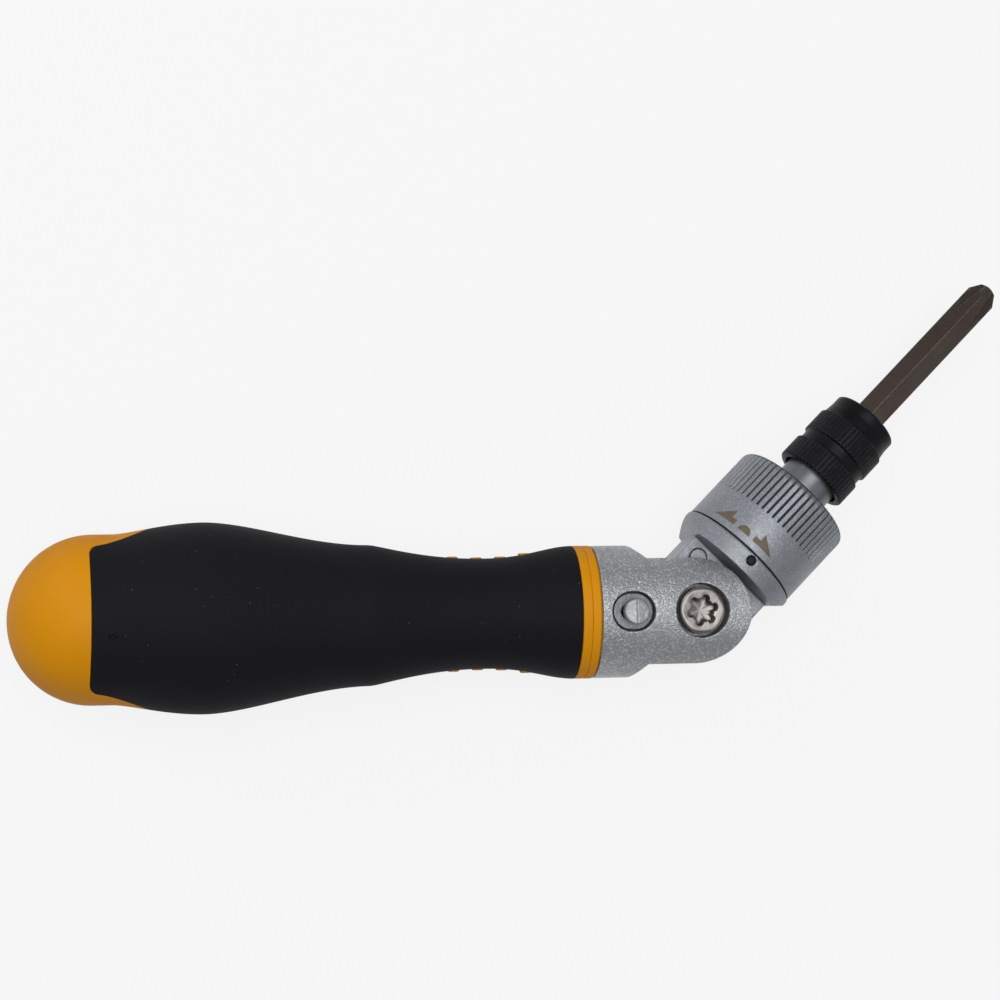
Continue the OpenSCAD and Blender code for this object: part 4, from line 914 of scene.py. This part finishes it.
def headBody():
    v = headShape
    tongue, half, base, reach = v["tongue"], v["tongueHalf"], v["base"], v["base"] + lap
    rear, bevel, root, baseEnd = v["baseRear"], v["bevel"], seam - 2 * lap, seam - v["seamOpen"]
    hubEnd, chamberStart = headSpan("head_body")[1], headSpan("thrust_washer")[0]
    outline = [(root, -tongue), (root, tongue)]
    outline += arcPoints(0, 0, tongue, math.pi / 2, 1.5 * math.pi, v["tonguePoints"])
    blade = slabMesh("blade", outline, -half, half)
    section = rodCorners(base, rear, baseEnd, v["seamEdge"])
    drum = latheMesh("drum", section, columns=v["columns"], step=oneStep)
    wedge = [(rear, bevel - rear), (reach + bevel, -reach), (seam + lap, -reach),
             (seam + lap, reach), (reach + bevel, reach), (rear, rear - bevel)]
    drum = combinedMesh(drum, [slabMesh("wedge", wedge, -reach, reach)], "INTERSECT")
    hub = rodMesh("hub", v["hub"], root, hubEnd, columns=v["hubColumns"])
    body = combinedMesh(drum, [blade, hub], "UNION")
    hole, holeFloor = indexDot["radius"], base - indexDot["depth"]
    seat, seatFloor = ejector["radius"], half - ejector["depth"]
    cuts = [
        rodMesh("pivotBore", v["bore"] / 2, -reach, reach, upright),
        rodMesh("chamber", v["chamber"], chamberStart, hubEnd + lap),
        rodMesh("indexHole", hole, holeFloor, reach, indexShift @ outOfBase, indexDot["columns"]),
        rodMesh("ejectorSeat", seat, seatFloor, reach, ejectorShift @ upright, ejector["columns"]),
    ]
    depth, mouth, foot = v["notch"]
    floor, top, flare = tongue - depth, tongue + lap, v["notchFlare"]
    sides = [(floor, -foot / 2), (top, -mouth / 2 - flare), (top, mouth / 2 + flare), (floor, foot / 2)]
    for i in range(-v["notches"], v["notches"] + 1):
        notch = slabMesh("notch", sides, -reach, reach)
        notch.transform(Matrix.Rotation(math.pi + math.radians(i * v["notchPitch"]), 4, "Z"))
        cuts.append(notch)
    body = castMesh("headBody", combinedMesh(body, cuts, "DIFFERENCE"))
    addPiece("headBody", body, headFrame, "head", "cast_zinc", fineZinc, "head_body")


def ejectorMark():
    v = ejector
    half, radius = headShape["tongueHalf"], v["radius"] - v["gap"]
    corners = rodCorners(radius, half - v["depth"] - v["root"], half - v["sunk"], v["edge"])
    disc = latheMesh("ejectorMark", corners, columns=v["columns"], step=v["rowStep"])
    addPiece("ejectorMark", disc, headFrame @ ejectorShift @ upright, "head", "cast_zinc", fineZinc)


def indexPin():
    v = indexDot
    base, radius = headShape["base"], v["radius"] - v["gap"]
    foot, rim, top = base - v["depth"], base - v["rimSunk"], base - v["sunk"]
    corners = [(0, foot, 0), (radius, foot, 0), (radius, rim, v["edge"]), (0, top, 0)]
    pin = latheMesh("indexPin", corners, columns=v["columns"], step=v["rowStep"])
    place = headFrame @ indexShift @ outOfBase
    addPiece("indexPin", pin, place, "head", "black_paint", dotBlack, "index_pin")


headBody()
ejectorMark()
indexPin()
print("head made")


# Selector ring: a turned ring with closed flutes that run out over its front rounding

ring = {
    "round": 1.5, "crown": 0.4, "opening": 8.45, "openingEdge": 0.15, "seatDepth": 1.3, "bore": 7.05,
    "inner": 11.3, "web": 8.5, "rearEdge": 0.12, "seamOpen": 0.08, "arcSteps": 12, "rowStep": 0.45,
    "flutes": 60, "fluteWidth": 0.54, "fluteDepth": 0.44, "fluteStart": 7.6, "fluteTurn": math.radians(0.9),
    "fluteColumns": (-1.12, -1, -0.88, -0.62, -0.32, 0, 0.32, 0.62, 0.88, 1, 1.12),
    "landColumns": (0.36, 0.5, 0.64), "closeRows": (-0.05, 0.45, 9), "closeRoom": (-0.1, 0.5),
    "runOut": 0.96, "frontShade": (0.45, 0.4, 0.85),  # the front shade's start, its width and its most
}
ringStart, ringEnd, ringRadius = headSpan("selector_ring")


def ringLine(fluteFrom):  # the section of the ring, with closer rows where the flutes begin
    v = ring
    rear, web, seat = ringStart + v["seamOpen"], ringStart + v["web"], ringEnd - v["seatDepth"]
    corners = [
        (v["inner"], rear, 0), (ringRadius, rear, v["rearEdge"]),
        (ringRadius, ringEnd - v["crown"], v["round"]), (v["opening"], ringEnd, v["openingEdge"]),
        (v["opening"], seat, 0), (v["bore"], seat, 0), (v["bore"], web, 0), (v["inner"], web, 0)]
    line = spacedLine(roundedLine(corners, v["arcSteps"]), v["rowStep"], True)
    low, high, count = v["closeRows"]
    close = [(ringRadius, u) for u in np.linspace(fluteFrom + low, fluteFrom + high, count)]
    low, high = v["closeRoom"]
    onSide = line[:, 0] > ringRadius - 1e-6
    replaced = onSide & (line[:, 1] > fluteFrom + low) & (line[:, 1] < fluteFrom + high)
    after = int(np.argmax(onSide & (line[:, 1] > fluteFrom + high)))
    return np.vstack([line[:after][~replaced[:after]], close, line[after:]])


def selectorRing():
    v = ring
    fluteFrom, half = ringStart + v["fluteStart"], v["fluteWidth"] / 2
    line = ringLine(fluteFrom)
    turns, off = flutedTurns(v["flutes"], half / ringRadius, v["fluteColumns"], v["landColumns"])
    off *= ringRadius
    turns += v["fluteTurn"]
    radius, place = line[:, :1], line[:, 1:]
    tangent = np.gradient(line, axis=0)
    normal = np.stack([tangent[:, 1], -tangent[:, 0]], -1)
    normal /= np.linalg.norm(normal, axis=1, keepdims=True)
    shortfall = np.clip(fluteFrom + half - place, 0, None)
    roundStart = ringEnd - v["crown"] - v["round"]
    fade = np.clip(1 - (place - roundStart) / (v["round"] * v["runOut"]), 0, 1) ** 0.5
    fade = np.where(place < roundStart, 1.0, fade) * (radius > ringRadius - v["round"])  # out on the round
    depth = np.sqrt(np.clip(half ** 2 - off ** 2 - shortfall ** 2, 0, None)) / half * v["fluteDepth"] * fade
    grid = polarGrid(radius - depth * normal[:, :1], place - depth * normal[:, 1:], turns)
    start, width, most = v["frontShade"]  # painted shade: the rounding darkens to the front
    turned = (place > roundStart) * np.clip((normal[:, 1:] - start) / width, 0, most)
    # painted shade: deepest at a flute's floor, and as set on the front rounding
    shade = np.maximum(np.clip(depth / v["fluteDepth"], 0, 1), turned)
    mesh = gridMesh("selectorRing", grid, True, shade)
    addPiece("selectorRing", mesh, headFrame, "selector", "cast_zinc", fineZinc, "selector_ring")


# Direction marks: two half arrows and a half disc, as a film of paint that follows the ring

marks = {
    "pitch": math.radians(22), "start": 1.5, "height": 2.7, "film": 0.02, "sunk": 0.15, "slice": 0.25,
    "arrow": [(-0.5, 0), (0.5, 0), (-0.25, 1), (-0.25, 0.4), (-0.5, 0.45)], "arrowSpan": 1.03,
    "dotSpan": 0.29, "dotHeight": 0.55, "dotPoints": 25,
}


def markMesh(step, outline):
    v = marks
    film = bmesh.new()
    film.faces.new([film.verts.new((x, y, 0)) for x, y in outline])
    reach = max(abs(x) for x, y in outline)
    for cut in np.arange(-reach, reach, v["slice"]):  # slices let the film bend round the ring
        geometry = film.verts[:] + film.edges[:] + film.faces[:]
        bmesh.ops.bisect_plane(film, geom=geometry, plane_co=(cut, 0, 0), plane_no=(1, 0, 0))
    grown = bmesh.ops.extrude_face_region(film, geom=film.faces[:])["geom"]
    for vert in grown:
        if isinstance(vert, bmesh.types.BMVert):
            vert.co.z = -v["film"] - v["sunk"]
    for vert in film.verts:
        turn = indexDot["turn"] - step * v["pitch"] + vert.co.x / ringRadius
        radius = ringRadius + v["film"] + vert.co.z
        vert.co = (ringStart + v["start"] + vert.co.y, radius * math.cos(turn), radius * math.sin(turn))
    bmesh.ops.recalc_face_normals(film, faces=film.faces)
    mesh = bpy.data.meshes.new("mark")
    film.to_mesh(mesh)
    film.free()
    return mesh


def directionMarks():
    v = marks
    height, span = v["height"], v["arrowSpan"] * v["pitch"] * ringRadius
    dotLong, dotHigh = v["dotSpan"] * v["pitch"] * ringRadius, height * v["dotHeight"]
    dot = [(dotLong * math.cos(a), dotHigh * math.sin(a)) for a in np.linspace(0, math.pi, v["dotPoints"])]
    arrow = [(x * span, y * height) for x, y in v["arrow"]]
    outlines = [arrow, dot, [(-x, y) for x, y in arrow]]
    mesh = joinedMesh("directionMarks", [markMesh(step, outline) for step, outline in enumerate(outlines)])
    addPiece("directionMarks", mesh, headFrame, "selector", "brown_paint", markBrown, "direction_marks")


selectorRing()
directionMarks()
print("selector made")


# Bush, spindle, chuck sleeve and bit, all about the head's axis

hexDegrees = 80  # where the hexagon's first corner stands
bush = {"inner": 5.85, "lip": 6.6, "lipDepth": 0.8, "lipEdge": 0.15, "body": 7.0, "flange": 1.3,
        "edges": (0.1, 0.2), "columns": 192, "rowStep": 0.5}


def hexRadius(turns, flats, corner):  # the outline of a hexagon with broken corners
    off = (turns - math.radians(hexDegrees) + math.pi / 6) % (math.pi / 3) - math.pi / 6
    return np.minimum(flats / 2 / np.cos(math.pi / 6 - np.abs(off)), corner)


def frontBush():
    v = bush
    start, end, flange = headSpan("front_bush")
    inner, body, lip, (rearEdge, frontEdge) = v["inner"], v["body"], v["lip"], v["edges"]
    flangeRear, lipFloor = end - v["flange"], end - v["lipDepth"]
    mesh = latheMesh("frontBush", [
        (inner, start, 0), (body, start, 0), (body, flangeRear, 0), (flange, flangeRear, rearEdge),
        (flange, end, frontEdge), (lip, end, v["lipEdge"]), (lip, lipFloor, 0), (inner, lipFloor, 0)],
        closed=True, columns=v["columns"], step=v["rowStep"])
    addPiece("frontBush", mesh, headFrame, "head", "dark_steel", darkSteel, "front_bush")


spindleShape = {
    "tail": 3.0, "seat": 4.5, "journal": 5.8, "nose": 5.0, "mouth": 4.0, "edge": 0.2, "noseEdge": 0.35,
    "grooveRadius": 4.5, "springGap": 0.05, "socketFlats": 6.45, "socketCorner": 9.0,
    "socketEdge": (0.12, 0.15), "columns": 192, "rowStep": 0.7, "socketStart": 2, "socketStep": 2.5,
    "sharp": math.radians(40),
}


def spindlePiece():
    v = spindleShape
    start, end, _ = headSpan("spindle")
    gearStart, gearEnd, _ = headSpan("ratchet_gear")
    grooveStart, grooveEnd, _ = headSpan("chuck_circlip")
    magnetStart, socketStart, magnetRadius = headSpan("socket_magnet")
    shoulder = headSpan("chuck_spring")[0] - v["springGap"]
    tail, seat, journal, nose, groove = v["tail"], v["seat"], v["journal"], v["nose"], v["grooveRadius"]
    line = spacedLine(roundedLine([
        (0, start, 0), (tail, start, v["edge"]), (tail, gearStart, 0), (seat, gearStart, 0),
        (seat, gearEnd, 0), (journal, gearEnd, 0), (journal, shoulder, v["edge"]), (nose, shoulder, 0),
        (nose, grooveStart, 0), (groove, grooveStart, 0), (groove, grooveEnd, 0), (nose, grooveEnd, 0),
        (nose, end, v["noseEdge"]), (v["mouth"], end, 0)]), v["rowStep"])
    corners = [math.radians(hexDegrees + 60 * i) % (2 * math.pi) for i in range(6)]
    turns = np.sort(np.append(evenTurns(v["columns"]), corners))
    hexagon = hexRadius(turns, v["socketFlats"], v["socketCorner"])
    wider, deep = v["socketEdge"]
    rows = [*line, (hexagon + wider, end), (hexagon, end - deep)]
    rows += [(hexagon, u) for u in np.arange(end - v["socketStart"], socketStart, -v["socketStep"])]
    rows += [(hexagon, socketStart), (magnetRadius, socketStart), (magnetRadius, magnetStart),
             (0.0, magnetStart)]
    mesh = gridMesh("spindle", rowsGrid(rows, turns))
    mesh.set_sharp_from_angle(angle=v["sharp"])
    addPiece("spindle", mesh, headFrame, "spindle", "spindle_steel", spindleSteel, "spindle")


sleeve = {
    "rear": (7.85, 5.2), "groove": (7.3, 2.0), "front": (7.85, 5.3),  # radius, length
    "nose": 7.15, "noseRound": 0.4, "chamber": 6.5, "chamberEdge": 0.1, "bore": 5.05, "step": 8.6,
    "circlipRoom": (6.05, 2.45), "edge": 0.3, "fillets": (0.12, 0.15, 0.2), "arcSteps": 4, "rowStep": 0.45,
    "ribs": 50, "ribWidth": 0.5, "ribDepth": 0.25, "ribEnd": 0.02,
    "ribColumns": (-1.15, -1, -0.85, -0.5, 0, 0.5, 0.85, 1, 1.15), "landColumns": (0.4, 0.5, 0.6),
}


def chuckSleeve():
    v = sleeve
    start, end, _ = headSpan("chuck_sleeve")
    rearRadius, rearLong = v["rear"]
    grooveRadius, grooveLong = v["groove"]
    frontRadius, frontLong = v["front"]
    a, b = start + rearLong, start + rearLong + grooveLong
    c, edge = b + frontLong, v["edge"]
    room, roomDeep = v["circlipRoom"]
    chamber, nose, bore = v["chamber"], v["nose"], v["bore"]
    step, roomFloor = start + v["step"], end - roomDeep
    fine, soft, full = v["fillets"]
    corners = [
        (chamber, start, v["chamberEdge"]), (rearRadius - edge, start, soft),
        (rearRadius, start + edge, full), (rearRadius, a - edge, soft),
        (grooveRadius, a, fine), (grooveRadius, b, fine),
        (frontRadius, b + edge, soft), (frontRadius, c - edge, soft), (grooveRadius + edge / 2, c, fine),
        (nose, (c + end) / 2, v["noseRound"]), (nose, end - edge, full), (nose - edge, end, full),
        (room, end, fine), (room, roomFloor, 0), (bore, roomFloor, 0), (bore, step, 0), (chamber, step, 0)]
    line = spacedLine(roundedLine(corners, v["arcSteps"]), v["rowStep"], True)
    half = v["ribWidth"] / 2
    turns, off = flutedTurns(v["ribs"], half / frontRadius, v["ribColumns"], v["landColumns"])
    off *= frontRadius
    radius, place = line[:, :1], line[:, 1:]
    ribbed = (radius > grooveRadius + v["ribEnd"]) & (place < c)  # not the groove, nor past the shoulder
    floor = np.where(place < (a + b) / 2, rearRadius, frontRadius)
    floor = floor - np.sqrt(np.clip(half ** 2 - off ** 2, 0, None)) / half * v["ribDepth"]
    floor = np.minimum(radius, np.maximum(floor, grooveRadius))
    grid = polarGrid(np.where(ribbed & (np.abs(off) < half), floor, radius), place, turns)
    mesh = gridMesh("chuckSleeve", grid, True)
    addPiece("chuckSleeve", mesh, headFrame, "sleeve", "black_oxide", chuckBlack, "chuck_sleeve")


bit = {
    "flats": 6.35, "corner": 3.64, "chamfer": 0.4, "tipLong": 3.6, "tipRadius": 1.9,
    "tipFillets": (0.5, 0.35), "tipStart": 0.1, "fluteWidth": 2.2, "fluteTilt": math.radians(13),
    "fluteInset": 0.47, "fluteTurn": math.radians(125), "flatSlope": 0.01,
    "columns": 180, "cornerColumns": (-4, -2.5, -1.2, 0, 1.2, 2.5, 4), "bodyStep": 2.0,
    "fluteLong": 8, "fluteStep": 0.2, "tipStep": 0.12, "tipArcSteps": 6, "sharp": math.radians(50),
}


def screwBit():
    v = bit
    start, end, _ = headSpan("screw_bit")
    corner = np.radians(hexDegrees) + np.arange(6) * math.pi / 3
    close = (corner[:, None] + np.radians(v["cornerColumns"])).ravel() % (2 * math.pi)
    turns = np.unique(np.round(np.append(evenTurns(v["columns"]), close), 5))
    hexagon = hexRadius(turns, v["flats"], v["corner"])
    tip, tipFrom, (outer, inner) = v["tipRadius"], end - v["tipLong"], v["tipFillets"]
    line = roundedLine([(v["corner"] + v["tipStart"], tipFrom, 0), (tip, end - tip / 4, outer),
                        (tip / 2, end, inner), (0, end, 0)], v["tipArcSteps"])
    rows = [(0.0, start), (np.minimum(hexagon, v["corner"] - v["chamfer"]), start),
            (hexagon, start + v["chamfer"])]
    fluteFrom = tipFrom - v["fluteLong"]
    rows += [(hexagon, u) for u in np.arange(start + v["bodyStep"], fluteFrom - lap, v["bodyStep"])]
    rows += [(hexagon, u) for u in np.arange(fluteFrom, tipFrom - v["tipStart"], v["fluteStep"])]
    rows += [(np.minimum(hexagon, r), u) for r, u in spacedLine(line, v["tipStep"])]
    half, tilt, least = v["fluteWidth"] / 2, v["fluteTilt"], v["flatSlope"]
    off = (turns - v["fluteTurn"] + math.pi / 4) % (math.pi / 2) - math.pi / 4
    slope = np.cos(off) * math.cos(tilt) - np.abs(np.sin(off))
    shaped = []
    for r, u in rows:  # where a ray from the axis first meets the slanting flute's walls, a right angle apart
        depth = (tip * v["fluteInset"] + half + (end + lap - u) * math.tan(tilt)) * math.cos(tilt) - half
        entry = depth / np.clip(slope, least, None)
        inFlute = (slope > least) & (entry * np.abs(np.sin(off)) < half)
        shaped.append((np.where(inFlute, np.minimum(r, entry), r), u))
    mesh = gridMesh("screwBit", rowsGrid(shaped, turns))
    mesh.set_sharp_from_angle(angle=v["sharp"])
    addPiece("screwBit", mesh, headFrame, "bit", "bronzed_steel", bitBronze, "screw_bit")


frontBush()
spindlePiece()
chuckSleeve()
screwBit()
print("spindle, chuck and bit made")


# Springs: round wire on a helix, drawn at the length of their CAD nodes

springs = {  # coil radius, wire, turns
    "lock": (1.5, 0.5, 7.0), "chuck": (5.75, 0.7, 3.5), "detent": (0.6, 0.24, 4.0), "pawl": (0.6, 0.24, 2.0),
}
coilSteps, wireSides = 36, 12
pawlTurns = {"forward": math.radians(30), "reverse": math.radians(120)}


def coilMesh(name, kind, long):
    radius, wire, turns = springs[kind]
    share = np.linspace(0, 1, int(turns * coilSteps) + 1)
    angle = share * turns * 2 * math.pi
    climb = (long - wire) / (turns * 2 * math.pi * radius)
    outward = np.stack([0 * angle, np.cos(angle), np.sin(angle)], -1)
    along = np.stack([climb + 0 * angle, -np.sin(angle), np.cos(angle)], -1) / math.hypot(1, climb)
    middle = radius * outward + np.stack([wire / 2 + share * (long - wire), 0 * angle, 0 * angle], -1)
    side = evenTurns(wireSides)[:, None]
    hoop = np.cos(side) * outward[:, None] + np.sin(side) * np.cross(outward, along)[:, None]
    grid = middle[:, None] + wire / 2 * hoop
    ends = np.repeat(middle[[0, -1], None], wireSides, axis=1)
    return gridMesh(name, np.concatenate([ends[:1], grid, ends[1:]]))


def springPiece(name, kind, place, long, body, node):  # the coil runs along x from the place's origin
    return addPiece(name, coilMesh(name, kind, long), place, body, "spring_steel", springSteel, node)


def pressSpring(piece):  # gives the piece its own copy of its mesh
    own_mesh(piece)


def springPieces():
    low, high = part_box("lock_spring")
    long, place = (high.x - low.x) / mm, Matrix.Translation((low.x / mm, 0, 0))
    piece = springPiece("lockSpring", "lock", place, long, "handle", "lock_spring")
    pressSpring(piece)

    start, end, _ = headSpan("chuck_spring")
    place = headFrame @ Matrix.Translation((start, 0, 0))
    piece = springPiece("chuckSpring", "chuck", place, end - start, "spindle", "chuck_spring")
    pressSpring(piece)

    points = headPoints("detent_spring")
    low, high = points.min(0), points.max(0)
    place = headFrame @ Matrix.Translation((low[0], (low[1] + high[1]) / 2, (low[2] + high[2]) / 2))
    springPiece("detentSpring", "detent", place, high[0] - low[0], "head", "detent_spring")

    points = headPoints("pawl_springs")
    for way, turn in pawlTurns.items():
        out = points[:, 1] * math.cos(turn) + points[:, 2] * math.sin(turn)
        aside = points[:, 2] * math.cos(turn) - points[:, 1] * math.sin(turn)
        mine = np.abs(aside) < out  # the coil on this side
        middle = (points[mine, 0].min() + points[mine, 0].max()) / 2
        start, long = out[mine].min(), np.ptp(out[mine])
        place = headFrame @ Matrix.Translation((middle, 0, 0)) @ Matrix.Rotation(turn, 4, "X")
        place = place @ Matrix.Rotation(math.pi / 2, 4, "Z") @ Matrix.Translation((start, 0, 0))
        piece = springPiece(way + "PawlSpring", "pawl", place, long, "head", "pawl_springs")
        if way == "forward":  # only this spring gets its own mesh copy; the other spring is drawn pressed together, and its pawl moves away from it
            pressSpring(piece)


springPieces()
print("springs made")


# CAD nodes that stay, mostly inside, with finer finishes

keptFinishes = {
    "pivot_washers": washerBrass, "thrust_washer": washerBrass, "lock_bolt": darkSteel,
    "pawl_forward": darkSteel, "pawl_reverse": darkSteel, "ratchet_gear": darkSteel,
    "chuck_circlip": darkSteel, "detent_ball": springSteel, "stop_pin": springSteel,
    "socket_magnet": springSteel, "chuck_ball": springSteel,
}
for node, finish in keptFinishes.items():
    nodes[node].data.materials.clear()
    nodes[node].data.materials.append(finish)
print("inner parts finished")


# Floor, light and camera

stageShape = {"floorHalf": 4.0, "floorColor": "c4c4c4", "floorShare": 0.84, "worldColor": "e4e7ea",
              "worldStrength": 0.3}
lamps = {  # place, target, size in metres, power in watts
    "overhead": ((0.02, 0.1, 0.9), (0.1, 0.02, 0.0), 0.8, 6.4),
    "left": ((-0.45, 0.5, 0.34), (0.08, 0.0, 0.0), 0.5, 1.6),
    "right": ((0.65, -0.25, 0.5), (0.12, 0.02, 0.0), 0.5, 0.45),
}
cameraView = {"place": (42.4, 0.94, 370.0), "right": (0.990, -0.0158, 0.141), "up": (0.0075, 0.998, 0.0592),
              "lens": 67.8, "sensor": 36.0, "clipStart": 0.01}


def makeFloor():
    v = stageShape
    half, low = v["floorHalf"], cadBox[0].z
    corners = [(-half, -half, low), (half, -half, low), (half, half, low), (-half, half, low)]
    mesh = bpy.data.meshes.new("floor")
    mesh.from_pydata(corners, [], [(0, 1, 2, 3)])
    floor = bpy.data.objects.new("floor", mesh)
    bpy.context.scene.collection.objects.link(floor)
    material = bpy.data.materials.new("paleFloor")
    material.use_nodes = True
    tree = material.node_tree
    tree.nodes.clear()
    diffuse = addNode(tree, "ShaderNodeBsdfDiffuse", Color=hexColor(v["floorColor"]))
    glow = addNode(tree, "ShaderNodeEmission", Color=(1, 1, 1, 1), Strength=1.0)
    rays = tree.nodes.new("ShaderNodeLightPath").outputs
    bent = addMath(tree, "MAXIMUM", rays["Is Glossy Ray"], rays["Is Transmission Ray"])
    seen = addMath(tree, "MAXIMUM", rays["Is Camera Ray"], bent)
    mix = tree.nodes.new("ShaderNodeMixShader")
    tree.links.new(addMath(tree, "MULTIPLY", seen, v["floorShare"]), mix.inputs[0])
    tree.links.new(diffuse.outputs[0], mix.inputs[1])
    tree.links.new(glow.outputs[0], mix.inputs[2])
    tree.links.new(mix.outputs[0], tree.nodes.new("ShaderNodeOutputMaterial").inputs["Surface"])
    mesh.materials.append(material)


def makeLight():
    world = bpy.data.worlds.new("studio")
    bpy.context.scene.world = world
    world.use_nodes = True
    background = world.node_tree.nodes["Background"]
    background.inputs["Color"].default_value = hexColor(stageShape["worldColor"])
    background.inputs["Strength"].default_value = stageShape["worldStrength"]
    for name, (place, target, size, power) in lamps.items():
        light = bpy.data.lights.new(name, "AREA")
        light.shape, light.size, light.energy = "DISK", size, power
        lamp = bpy.data.objects.new(name, light)
        lamp.location = place
        lamp.rotation_euler = (Vector(target) - Vector(place)).to_track_quat("-Z", "Y").to_euler()
        bpy.context.scene.collection.objects.link(lamp)


def makeCamera():
    v = cameraView
    right = Vector(v["right"]).normalized()
    back = right.cross(Vector(v["up"])).normalized()
    up = back.cross(right)
    data = bpy.data.cameras.new("camera")
    data.lens, data.sensor_width, data.clip_start = v["lens"], v["sensor"], v["clipStart"]
    camera = bpy.data.objects.new("camera", data)
    turned = Matrix((right, up, back)).transposed().to_4x4()
    camera.matrix_world = Matrix.Translation(Vector(v["place"]) * mm) @ turned
    bpy.context.scene.collection.objects.link(camera)
    bpy.context.scene.camera = camera


makeFloor()
makeLight()
makeCamera()
bpy.context.scene.view_settings.view_transform = "Standard"
print("stage made")

bpy.context.view_layer.update()
